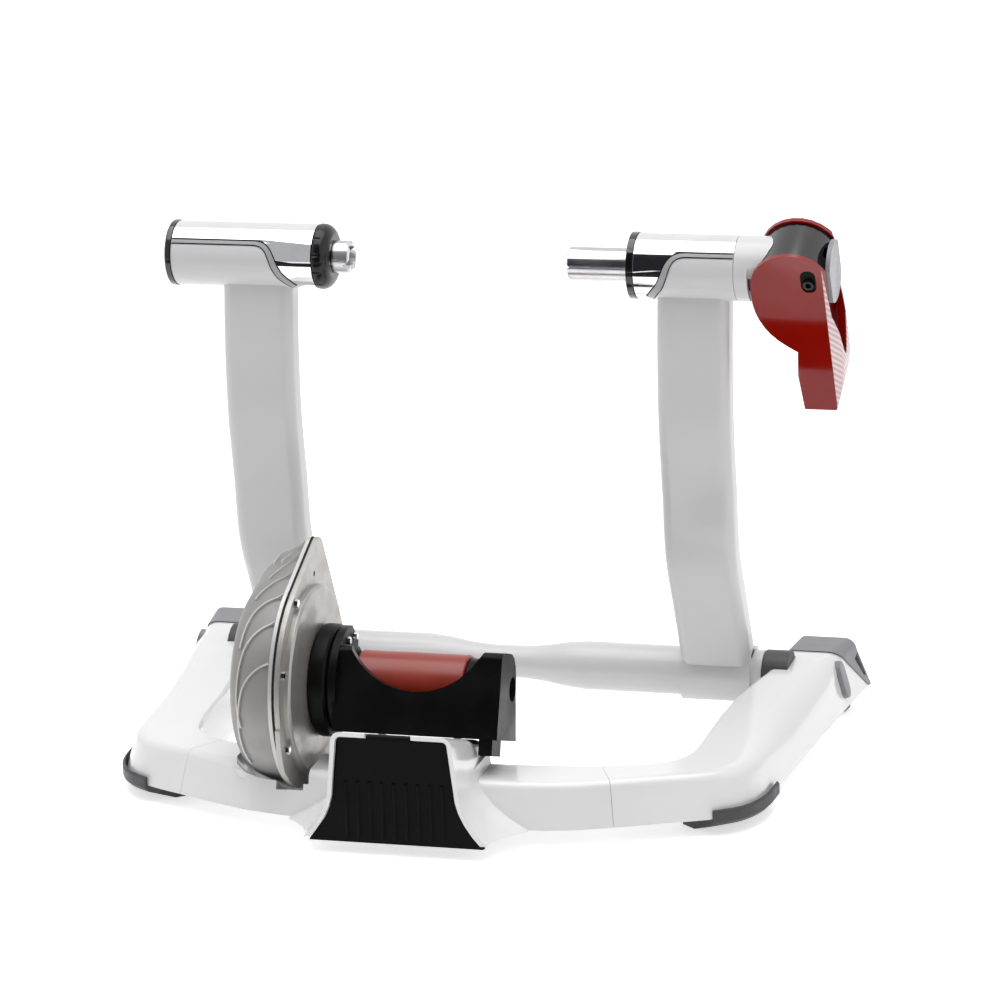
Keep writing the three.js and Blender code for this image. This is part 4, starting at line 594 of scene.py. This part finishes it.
# Solids whose own shape is finished by easing their edges
plainPieces = [
    # node, body, finish, slot, ease, angle
    ("base_centre", "base", "whiteShell", "white_shell", 0.8, 30),
    ("wing_right", "base", "whiteShell", "white_shell", 0.6, 30),
    ("wing_left", "base", "whiteShell", "white_shell", 0.6, 30),
    ("end_cap_right", "base", "greyMoulding", "grey_moulding", 0.8, 30),
    ("end_cap_left", "base", "greyMoulding", "grey_moulding", 0.8, 30),
    ("side_plug_right", "base", "greyMoulding", "grey_moulding", 0.8, 30),
    ("side_plug_left", "base", "greyMoulding", "grey_moulding", 0.8, 30),
    ("hinge_bush_right", "base", "bushGrey", "grey_moulding", 0.8, 30),
    ("hinge_bush_left", "base", "bushGrey", "grey_moulding", 0.8, 30),
    ("front_foot_right", "base", "footRubber", "foot_rubber", 0.6, 30),
    ("front_foot_left", "base", "footRubber", "foot_rubber", 0.6, 30),
    ("rear_foot_right", "base", "footRubber", "foot_rubber", 0.6, 30),
    ("rear_foot_left", "base", "footRubber", "foot_rubber", 0.6, 30),
    ("roller_housing", "base", "blackMoulding", "black_moulding", 0.7, 30),
    ("coupling_flange", "base", "blackMoulding", "black_moulding", 0.6, 30),
    ("cover_plate", "base", "coverAlloy", "cover_alloy", 0.5, 30),
    ("rim_gasket", "base", "sealRubber", "seal_rubber", 0, 30),
    ("roller_sleeve", "roller", "rollerRed", "roller_rubber", 0.3, 30),
    ("roller_collar", "roller", "blackMoulding", "black_moulding", 0.6, 30),
    ("crossbar", "upper_frame", "framePaint", "frame_paint", 0.6, 30),
    ("cradle_right", "upper_frame", "framePaint", "frame_paint", 0.3, 32),
    ("cradle_left", "upper_frame", "framePaint", "frame_paint", 0.3, 32),
    ("tube_collar_right", "upper_frame", "framePaint", "frame_paint", 0.4, 32),
    ("clamp_tube_right", "upper_frame", "tubeChrome", "tube_chrome", 0.3, 32),
    ("clamp_tube_left", "upper_frame", "tubeChrome", "tube_chrome", 0.3, 32),
    ("end_plug_left", "upper_frame", "glossBlack", "black_moulding", 0.4, 30),
    ("tube_ring_right", "upper_frame", "glossBlack", "black_moulding", 0.4, 30),
    ("head_block", "upper_frame", "glossBlack", "gloss_black", 0.8, 30),
    ("head_disc", "upper_frame", "discAlloy", "disc_alloy", 0.4, 30),
    ("axle_cup_left", "cup", "spindleSteel", "tube_chrome", 0.4, 30),
    ("axle_spindle", "spindle", "spindleSteel", "tube_chrome", 0.3, 30),
]
for node, body, finish, slot, ease, angle in plainPieces:
    wear(refine(node, node + "_finished", ease, angle=angle), body, finish, slot, node)
print("stage: plain pieces eased,", len(plainPieces))

# Arms: a flat section carried up the centreline by extruding and turning
armSizes = {
    "x": 165.5, "width": 54.0, "depth": 28.0, "corner": 9.0, "cornerSteps": 6,
    "foot": (318.0, 42.0), "head": (262.0, 370.0),
    # shares of the rise, and of the way from foot to head
    "line": [(0, 0), (0.046, 0.09), (0.207, 0.55), (0.335, 0.9), (0.479, 0.99), (0.64, 1.1), (0.799, 1.08),
             (0.915, 1), (0.98, 0.99)],
    "steps": 5, "collar": 21.5, "collarSides": 72, "longestShare": 0.9,
}


def makeArm(name, side):
    foot, head = armSizes["foot"], armSizes["head"]
    path = smoothPath([
        (0, foot[0] + (head[0] - foot[0]) * back, foot[1] + (head[1] - foot[1]) * rise)
        for rise, back in armSizes["line"]
    ], armSizes["steps"])
    leans = [math.atan2(ahead.y, ahead.z) for ahead in headings(path)]
    x = armSizes["x"] * side
    piece = addSolid("plane", name, size=1, location=(x, *path[0].yz), rotation=(-leans[0], 0, 0))
    piece.scale = (armSizes["width"], armSizes["depth"], 1)
    settle(piece)
    edit(piece)
    bpy.ops.mesh.select_all(action="SELECT")
    for i in range(1, len(path)):
        bpy.ops.mesh.extrude_region_move(TRANSFORM_OT_translate={"value": path[i] - path[i - 1]})
        bpy.ops.transform.rotate(value=leans[i] - leans[i - 1], orient_axis="X",
                                 center_override=(x, *path[i].yz))
    done()
    mend(piece)
    edit(piece, "EDGE")
    corners = piece.data.vertices
    # the edges along the arm are shorter than its section's sides
    longest = armSizes["depth"] * armSizes["longestShare"]
    choose(piece, lambda edge: (
        (corners[edge.vertices[0]].co - corners[edge.vertices[1]].co).length < longest), "edges")
    easeEdges(armSizes["corner"], armSizes["cornerSteps"])
    half = armSizes["width"] / 2
    ends = [(x + reach, *foot) for reach in (-half, half)]
    collar = addRod(name + "_collar", *ends, armSizes["collar"], armSizes["collarSides"])
    piece = joined([piece, collar], name)
    place(piece, toScene)
    return smooth(mend(piece), 40)


for side, sign in (("right", 1), ("left", -1)):
    node = "arm_" + side
    wear(makeArm(node + "_finished", sign), "upper_frame", "framePaint", "frame_paint", node)
print("stage: arms modelled")

# Brake dome: teardrop rings drawn together, then blades that sweep over its shoulder
domeSizes = {
    "radius": 79.0, "sides": 120, "reach": 103.0, "steps": 3,
    "tip": 9.0, "tipSides": 40, "tipGrowth": (0.9, 0.7), "tipOut": 1.0,
    "rim": -96.6, "depth": 36.0, "rimWidth": 3.4, "rimEase": 0.6, "seam": 0.6, "seamProud": 0.12,
    # share of the depth, then of the radius and of the reach at it
    "levels": [(0, 0.955, 0.965), (0.35, 0.94, 0.9), (0.62, 0.905, 0.83), (0.8, 0.855, 0.77),
               (0.92, 0.79, 0.7), (1, 0.68, 0.6)],
}
bladeSizes = {
    "width": 1.2, "height": 1.5, "sunkRound": 6.0, "sunkAlong": 1.5,
    "rootLift": 2.4, "rootDeep": 0.16, "steps": 4,
    # share of the depth, and degrees swept by then
    "line": [(0.0, 0), (0.15, 1.5), (0.31, 4.5), (0.47, 9.5), (0.58, 16), (0.65, 25), (0.69, 36),
             (0.7, 46), (0.67, 56), (0.6, 66)],
    # direction each blade starts in, and the share of the sweep it keeps
    "starts": [(174, 1), (151, 0.95), (132, 0.66), (114, 0.5), (102, 0.38), (94, 0.3), (80, 0.5), (62, 0.6),
               (41, 0.7), (19, 0.8), (-3, 0.8), (-25, 0.8), (-47, 0.8), (-69, 0.8), (-91, 0.8)],
}
domeLevels = smoothPath(domeSizes["levels"], domeSizes["steps"])


# Distance from the axis to the teardrop's edge, in a direction turned from its point
def teardropReach(turned, radius, tipAt, tip):
    lean = math.acos((radius - tip) / tipAt)
    turned = abs((turned + math.pi) % (2 * math.pi) - math.pi)
    if turned > lean:
        return radius
    flank = radius / math.cos(turned - lean)
    inside = tip ** 2 - (tipAt * math.sin(turned)) ** 2
    if inside > 0:
        return min(flank, tipAt * math.cos(turned) + math.sqrt(inside))
    return flank


# Radius of the tip at a depth, and its distance from the axis
def domeTip(deep, girth, reach):
    least, growth = domeSizes["tipGrowth"]
    tip = domeSizes["tip"] * (least + growth * deep)
    return max(reach * domeSizes["reach"], girth * domeSizes["radius"] + domeSizes["tipOut"]) - tip, tip


# The two circles that a teardrop is drawn round, added to the mesh in edit
def addTeardrop(x, radius, tipAt, tip):
    for sides, size, z in ((domeSizes["sides"], radius, 0), (domeSizes["tipSides"], tip, tipAt)):
        bpy.ops.mesh.primitive_circle_add(vertices=sides, radius=size, location=(x, 0, z),
                                          rotation=(0, math.radians(90), 0))


# A start mesh, emptied and drawn as one skin over a row of teardrops
def skinOver(piece, drops):
    edit(piece, "VERT")
    bpy.ops.mesh.select_all(action="SELECT")
    bpy.ops.mesh.delete(type="VERT")
    for drop in drops:
        addTeardrop(*drop)
    bpy.ops.mesh.select_all(action="SELECT")
    bpy.ops.mesh.convex_hull()
    done()
    return settle(piece)


def makeDome():
    drops = []
    for deep, girth, reach in domeLevels:
        x = domeSizes["rim"] - domeSizes["depth"] * deep
        drops.append((x, girth * domeSizes["radius"], *domeTip(deep, girth, reach)))
    piece = skinOver(addSolid("circle", "dome_finished", radius=1), drops)
    return smooth(mend(place(piece, brakeFrame)), 40, False)


# A teardrop plate, grown all round by a little
def teardropPlate(name, left, right, grown):
    tipAt, tip = domeSizes["reach"] - domeSizes["tip"], domeSizes["tip"] + grown
    drops = [(x, domeSizes["radius"] + grown, tipAt, tip) for x in (left, right)]
    return skinOver(addSolid("circle", name, radius=1), drops)


# Points of a blade's upper edge, a little over the dome and higher at the root
def bladePath(start, share):
    path = []
    spots = smoothPath([(*spot, 0) for spot in bladeSizes["line"]], bladeSizes["steps"])
    for deep, sweep, _ in spots[:round(len(spots) * share)]:
        deep = min(1.0, max(0.0, deep))
        x = domeSizes["rim"] - domeSizes["depth"] * deep
        lower, upper = next((a, b) for a, b in zip(domeLevels, domeLevels[1:]) if deep <= b.x)
        level = lower.lerp(upper, (deep - lower.x) / (upper.x - lower.x))
        angle = math.radians(start + sweep)
        tipAt, tip = domeTip(deep, level.y, level.z)
        radius = teardropReach(angle - math.pi / 2, level.y * domeSizes["radius"], tipAt, tip)
        nearRoot = max(0, 1 - deep / bladeSizes["rootDeep"])
        radius += bladeSizes["height"] + bladeSizes["rootLift"] * nearRoot ** 2
        path.append(Vector((x, radius * math.cos(angle), radius * math.sin(angle))))
    return path


def addBlade(start, share):
    path = bladePath(start, share)
    blade = startPoint("blade", path[0])
    for before, after in zip(path, path[1:]):
        bpy.ops.mesh.extrude_region_move(TRANSFORM_OT_translate={"value": after - before})
    bpy.ops.mesh.select_all(action="SELECT")
    bpy.ops.transform.translate(value=(-bladeSizes["height"] / 2, 0, 0))
    bpy.ops.mesh.extrude_region_move(TRANSFORM_OT_translate={"value": (bladeSizes["sunkAlong"], 0, 0)})
    shrunk = 1 - bladeSizes["sunkRound"] / domeSizes["radius"]
    bpy.ops.transform.resize(value=(1, shrunk, shrunk), center_override=(0, 0, 0))
    done()
    return thicken(blade, bladeSizes["width"], 0)


wear(makeDome(), "base", "castAlloy", "cast_alloy", "dome_housing")
rimEnd = domeSizes["rim"] + domeSizes["rimWidth"]
# The rim and the blades wear the lighter copy of the alloy: painted highlights on their edges
rim = addBevel(teardropPlate("dome_rim", domeSizes["rim"], rimEnd, 0), domeSizes["rimEase"], angle=50)
wear(smooth(mend(place(rim, brakeFrame)), 40), "base", "alloyPaintedHighlight", "cast_alloy")
seam = teardropPlate("dome_seam", rimEnd - domeSizes["seam"], rimEnd, domeSizes["seamProud"])
wear(smooth(mend(place(seam, brakeFrame)), 40), "base", "sealRubber", "seal_rubber")
blades = joined([addBlade(start, share) for start, share in bladeSizes["starts"]], "dome_blades")
wear(smooth(mend(place(blades, brakeFrame)), 50), "base", "alloyPaintedHighlight", "cast_alloy")
print("stage: brake dome modelled")

# Arch panel: its solid, with its ribs' small faces left as they are
panel = refine("arch_panel", "arch_panel_finished", ease=0, flat=0, soft=35)
wear(panel, "base", "panelBlack", "black_moulding", "arch_panel")


# What is left of a piece, or of both, when one body is set against another
def carve(piece, tool, operation="DIFFERENCE"):
    pick(piece)
    carving = piece.modifiers.new("carving", "BOOLEAN")
    carving.operation = operation
    carving.object = tool
    carving.solver = "EXACT"
    bpy.ops.object.modifier_apply(modifier=carving.name)
    pick(tool)
    bpy.ops.object.delete()
    return piece


# Trim of each cradle: a grey band between two black lines, down the curved edge and along the top
trimSizes = {
    "edge": [(134.8, -21), (139.6, -15), (143.4, -10.5), (146.6, -4), (149.4, 3.5), (152.4, 9),
             (156.5, 12.2), (162, 13.4), (172, 13.5), (184, 13.5)],
    "widths": (5.4, 5.4, 5.4, 5.2, 4.8, 4.2, 3.6, 3.1, 3.0, 3.0, 3.0), "line": 0.75, "steps": 4,
    "start": 132.0, "inner": 23.6, "bandOuter": 24.18, "lineOuter": 24.24, "sides": 180, "reachY": 40.0,
    "ends": {"right": 198.6, "left": 226.6},
}


# A flat band carried along a path in the XZ plane, then made thick along Y
def addBand(name, path, widths):
    front, back = -trimSizes["reachY"], trimSizes["reachY"]
    turns = [math.atan2(ahead.z, ahead.x) for ahead in headings(path)]
    across = Vector((-math.sin(turns[0]), 0, math.cos(turns[0]))) * widths[0]
    band = startPoint(name, (path[0].x, front, path[0].z))
    bpy.ops.transform.translate(value=-across / 2)
    bpy.ops.mesh.extrude_region_move(TRANSFORM_OT_translate={"value": across})
    bpy.ops.mesh.select_all(action="SELECT")
    for i in range(1, len(path)):
        centre = (path[i].x, front, path[i].z)
        bpy.ops.mesh.extrude_region_move(TRANSFORM_OT_translate={"value": path[i] - path[i - 1]})
        bpy.ops.transform.rotate(value=turns[i] - turns[i - 1], orient_axis="Y", center_override=centre)
        bpy.ops.transform.resize(value=[widths[i] / widths[i - 1]] * 3, center_override=centre)
    bpy.ops.mesh.select_all(action="SELECT")
    bpy.ops.mesh.extrude_region_move(TRANSFORM_OT_translate={"value": (0, back - front, 0)})
    done()
    return mend(band)


# A band bent round the tube: what it shares with a thin shell about the X axis
def wrapBand(band, outer, start, end):
    sides = trimSizes["sides"]
    shell = settle(addRod("shell", (start, 0, 0), (end, 0, 0), outer, sides))
    core = settle(addRod("core", (start - overrun, 0, 0), (end + overrun, 0, 0), trimSizes["inner"], sides))
    return carve(band, carve(shell, core), "INTERSECT")


def makeTrim(side, sign):
    end, steps, given = trimSizes["ends"][side], trimSizes["steps"], trimSizes["widths"]
    edge = [(x, 0, z) for x, z in (*trimSizes["edge"], (end, trimSizes["edge"][-1][1]))]
    path, widths = [], []
    for i, spot in enumerate(smoothPath(edge, steps)):
        k, rest = divmod(i, steps)
        after = min(k + 1, len(edge) - 1)
        widths.append(given[k] + (given[after] - given[k]) * rest / steps)
        path.append(Vector((min(spot.x, end) * sign, 0, spot.z)))
    limits = sorted((trimSizes["start"] * sign, end * sign))
    band = wrapBand(addBand("cradle_trim_" + side, path, widths), trimSizes["bandOuter"], *limits)
    wear(smooth(place(band, tubeFrame), 40), "upper_frame", "trimGrey", "grey_moulding")
    lines = []
    for offset in (0.5, -0.5):
        beside = [spot + Vector((-ahead.z, 0, ahead.x)).normalized() * width * offset
                  for spot, ahead, width in zip(path, headings(path), widths)]
        line = addBand("line", beside, [trimSizes["line"]] * len(path))
        lines.append(wrapBand(line, trimSizes["lineOuter"], *limits))
    lines = place(joined(lines, "cradle_lines_" + side), tubeFrame)
    wear(smooth(lines, 40), "upper_frame", "blackMoulding", "black_moulding")


makeTrim("right", 1)
makeTrim("left", -1)
print("stage: cradle trim modelled")

# Knob: a disc with one broad round shoulder, bored for the rod, with shallow finger flutes
knobSizes = {
    "left": -118.1, "width": 11.6, "radius": 24.4, "sides": 144, "bore": 8.4, "boreSides": 72,
    "shoulder": 9.0, "shoulderSteps": 12, "back": 1.4, "backSteps": 3,
    "flutes": 12, "fluteRadius": 2.2, "fluteOut": 25.9, "fluteSides": 32,
}


def makeKnob():
    left, right = knobSizes["left"], knobSizes["left"] + knobSizes["width"]

    def through(name, out, radius, sides):
        return settle(addRod(name, (left - overrun, 0, out), (right + overrun, 0, out), radius, sides))

    ends = ((left, 0, 0), (right, 0, 0))
    body = settle(addRod("adjuster_knob_finished", *ends, knobSizes["radius"], knobSizes["sides"]))
    for end, edge in ((right, "shoulder"), (left, "back")):
        edit(body, "EDGE")
        corners = body.data.vertices
        choose(body, lambda line: all(abs(corners[i].co.x - end) < near for i in line.vertices), "edges")
        easeEdges(knobSizes[edge], knobSizes[edge + "Steps"])
    carve(body, through("bore", 0, knobSizes["bore"], knobSizes["boreSides"]))
    flute = through("flute", knobSizes["fluteOut"], knobSizes["fluteRadius"], knobSizes["fluteSides"])
    step = 360 / knobSizes["flutes"]
    cutters = [turnedCopy(flute, "flute", step * (i + 0.5)) for i in range(knobSizes["flutes"])]
    pick(flute)
    bpy.ops.object.delete()
    for cutter in cutters:
        carve(body, cutter)
    return smooth(mend(place(body, tubeFrame)), 40)


wear(makeKnob(), "knob", "knobBlack", "gloss_black", "adjuster_knob")
print("stage: knob modelled")

# Lever, in the head's axes: crisp cheeks, an oblong recess with a black seat about the pin, which also
# paints the shade in the recess, a socket in the pin's end, and a ribbed pad along the outer web, whose
# pale pink paints the glancing sheen on the red plastic
leverSizes = {
    "outer": 22.6, "ease": 0.6, "easeSteps": 3,
    "recess": (5.6, 4.2), "recessLift": 2.2, "recessDepth": 1.7, "recessSides": 48,
    "seat": 0.7, "seatGap": 0.02,
    "pin": (13.0, 5.0), "pinHole": 4.3, "pinHoleReach": (-30, 0), "pinEnd": -24.5, "pinEase": 0.35,
    "socket": 2.3, "socketDepth": 3.0,
    "pad": 0.5, "padFacing": 0.6, "padFrom": 21.5, "padLow": -111.0, "padHigh": -30.0,
}
toHead = headFrame.inverted()


# A rod across the lever, drawn out upwards and downwards into an oblong
def oblong(name, outer, inner):
    x, z = leverSizes["pin"]
    radius, straight = leverSizes["recess"]
    centre = z + leverSizes["recessLift"]
    body = settle(addRod(name, (x, outer, centre), (x, inner, centre), radius, leverSizes["recessSides"]))
    for sign in (1, -1):
        edit(body, "VERT")
        choose(body, lambda corner: (corner.co.z - centre) * sign > near, "vertices")
        bpy.ops.transform.translate(value=(0, 0, sign * straight))
        done()
    return mend(body)


lever = refine("lever", "lever_finished", ease=0, flat=0.05, soft=30)
# A thin copy of the lever's ribbed outer face, worn over the red lever to carry the painted sheen
pad = refine("lever", "lever_pad", ease=0, flat=0, soft=30)
floorAt = -leverSizes["outer"] + leverSizes["recessDepth"]
carve(lever, place(oblong("recess", -leverSizes["outer"] - overrun, floorAt), headFrame))
smooth(addBevel(lever, leverSizes["ease"] * mm, leverSizes["easeSteps"]))
wear(lever, "lever", "leverRed", "lever_red", "lever")

pinX, pinZ = leverSizes["pin"]
# A black seat in the recess: it stands for the black boss seen through the cheek, and it paints the shade
# in the recess
seat = oblong("lever_pin_seat", floorAt - leverSizes["seat"], floorAt - leverSizes["seatGap"])
holeEnds = [(pinX, y, pinZ) for y in leverSizes["pinHoleReach"]]
pinHole = settle(addRod("pinHole", *holeEnds, leverSizes["pinHole"]))
seat = place(carve(seat, pinHole), headFrame)
wear(smooth(seat, 30), "lever", "blackMoulding", "black_moulding")

pin = refine("lever_cam_pin", "lever_pin_finished", ease=0)
socket = addSolid("cylinder", "socket", vertices=6, radius=leverSizes["socket"],
                  depth=2 * leverSizes["socketDepth"], location=(pinX, leverSizes["pinEnd"], pinZ),
                  rotation=(math.radians(90), 0, 0))
carve(pin, place(socket, headFrame))
edit(pin, "EDGE")
corners = pin.data.vertices
choose(pin, lambda edge: (
    all((toHead @ corners[i].co).y < leverSizes["pinEnd"] + near for i in edge.vertices)), "edges")
easeEdges(leverSizes["pinEase"] * mm, 2)
wear(smooth(pin, 30), "lever", "pinBlack", "bright_steel", "lever_cam_pin")


def onPad(face):
    spot = toHead @ face.center
    return (face.normal.x > leverSizes["padFacing"] and spot.x > leverSizes["padFrom"]
            and leverSizes["padLow"] < spot.z < leverSizes["padHigh"])


edit(pad, "FACE")
choose(pad, lambda face: not onPad(face))
bpy.ops.mesh.delete(type="FACE")
done()
thicken(pad, leverSizes["pad"] * mm, 1)
wear(smooth(pad, 35), "lever", "padPink", "lever_red")
print("stage: lever modelled")

# Solids without a piece of their own, such as the screws, keep their mesh and get their slot's finish
slotLooks = {
    "white_shell": "whiteShell", "black_moulding": "blackMoulding", "grey_moulding": "greyMoulding",
    "foot_rubber": "footRubber", "bright_steel": "boltSteel", "cover_alloy": "coverAlloy",
    "cast_alloy": "castAlloy", "seal_rubber": "sealRubber", "roller_rubber": "rollerRed",
    "frame_paint": "framePaint", "tube_chrome": "tubeChrome", "gloss_black": "glossBlack",
    "disc_alloy": "discAlloy", "lever_red": "leverRed",
}
slotOfNode = {part["node"]: part["material_slot"] for part in frame["record"]["subparts"]}
for node, solid in frame["nodes"].items():
    if node not in remade:
        solid.data.materials.clear()
        solid.data.materials.append(made[slotLooks[slotOfNode[node]]])
print("stage: other solids given their finish")

# Camera, as the photograph was taken
cameraView = {
    "place": (0.89101, -3.11708, 1.15512),
    "turn": (73.652792, 1.935972, 14.877387),
    "lens": 166.4, "sensor": 36.0, "far": 30,
}
cameraTurn = [math.radians(angle) for angle in cameraView["turn"]]
bpy.ops.object.camera_add(location=cameraView["place"], rotation=cameraTurn)
camera = bpy.context.active_object
camera.data.lens = cameraView["lens"]
camera.data.sensor_width = cameraView["sensor"]
camera.data.clip_end = cameraView["far"]
bpy.context.scene.camera = camera

# Floor and world: white to the camera and in reflections, plain soft light to all else
stage = {
    "floorSize": 14.0, "floorColour": (0.93, 0.93, 0.93), "floorRough": 0.6,
    "floorGlow": 0.62, "floorBounce": 0.2,
    "worldLow": 0.05, "worldHigh": 0.9, "worldFrom": 0.2,
}


# Rays from the camera, mirrored or through glass
def seenRays(tree):
    path = tree.nodes.new("ShaderNodeLightPath")
    seen = mathNode(tree, "MAXIMUM", path.outputs["Is Camera Ray"], path.outputs["Is Glossy Ray"])
    return mathNode(tree, "MAXIMUM", seen, path.outputs["Is Transmission Ray"])


floor = addSolid("plane", "studio_floor", size=stage["floorSize"], location=(0, 0, 0))
floorLook = bpy.data.materials.new("studioFloor")
floorLook.use_nodes = True
tree = floorLook.node_tree
shader = tree.nodes["Principled BSDF"]
shader.inputs["Base Color"].default_value = (*stage["floorColour"], 1)
shader.inputs["Roughness"].default_value = stage["floorRough"]
shader.inputs["Emission Color"].default_value = (1, 1, 1, 1)
glow = mathNode(tree, "MULTIPLY", seenRays(tree), stage["floorGlow"])
tree.links.new(mathNode(tree, "MAXIMUM", glow, stage["floorBounce"]), shader.inputs["Emission Strength"])
floor.data.materials.append(floorLook)

world = bpy.data.worlds.new("studio")
bpy.context.scene.world = world
world.use_nodes = True
tree = world.node_tree
background = tree.nodes["Background"]
background.inputs["Color"].default_value = (1, 1, 1, 1)
facing = tree.nodes.new("ShaderNodeNewGeometry").outputs["Incoming"]
height = mathNode(tree, "MULTIPLY", splitPlace(tree, facing)["Z"], -1.0)
overhead = spread(tree, height, stage["worldFrom"], 1, stage["worldLow"], stage["worldHigh"])
tree.links.new(mathNode(tree, "MAXIMUM", overhead, seenRays(tree)), background.inputs["Strength"])

lamps = {
    "softTop": {"place": (0.0, -0.1, 2.4), "aim": (0, 0, 0.1), "size": 2.2, "power": 34},
    "softRight": {"place": (2.4, -0.3, 1.2), "aim": (0.1, 0, 0.2), "size": 1.6, "power": 2.5},
    "softLeft": {"place": (-2.4, -0.6, 1.3), "aim": (-0.1, 0, 0.2), "size": 1.6, "power": 3},
}
for name, lamp in lamps.items():
    bpy.ops.object.light_add(type="AREA", location=lamp["place"])
    light = bpy.context.active_object
    light.name = name
    light.data.size = lamp["size"]
    light.data.energy = lamp["power"]
    aim = Vector(lamp["aim"]) - Vector(lamp["place"])
    light.rotation_euler = aim.to_track_quat("-Z", "Y").to_euler()

# Screens that are seen only in glossy faces: they give the chrome and the lever their darker bands
dark, grey = (0.02, 0.02, 0.024), (0.48, 0.48, 0.5)
screens = {
    "darkScreen": {"centre": (0.25, -1.6, 1.5), "size": (1.7, 2.8), "tilt": 90, "level": dark},
    "darkCeiling": {"centre": (0.25, -1.05, 3.2), "size": (1.7, 1.2), "tilt": 145, "level": dark},
    "darkFloor": {"centre": (0.25, -1.2, 0.002), "size": (1.7, 1.0), "tilt": 0, "level": dark},
    "greyScreen": {"centre": (-1.2, -1.6, 1.5), "size": (1.2, 2.8), "tilt": 90, "level": grey},
    "greyFloor": {"centre": (-1.2, -1.2, 0.002), "size": (1.2, 1.0), "tilt": 0, "level": grey},
    "leverFlag": {"centre": (0.205, -0.0065, 0.16), "size": (0.12, 0.041), "tilt": 0, "level": (0, 0, 0)},
}
for name, screen in screens.items():
    tilt = (math.radians(screen["tilt"]), 0, 0)
    card = addSolid("plane", name, size=1, location=screen["centre"], rotation=tilt)
    card.scale = (*screen["size"], 1)
    settle(card)
    look = bpy.data.materials.new(name)
    look.use_nodes = True
    shader = look.node_tree.nodes["Principled BSDF"]
    shader.inputs["Base Color"].default_value = (0, 0, 0, 1)
    shader.inputs["Roughness"].default_value = 1
    shader.inputs["Specular IOR Level"].default_value = 0
    shader.inputs["Emission Color"].default_value = (*screen["level"], 1)
    shader.inputs["Emission Strength"].default_value = 1
    card.data.materials.append(look)
    card.visible_camera = False
    card.visible_diffuse = False
    card.visible_shadow = False
    card.visible_transmission = False

bpy.context.scene.view_settings.view_transform = "Standard"
print("stage: camera, floor and lamps set")
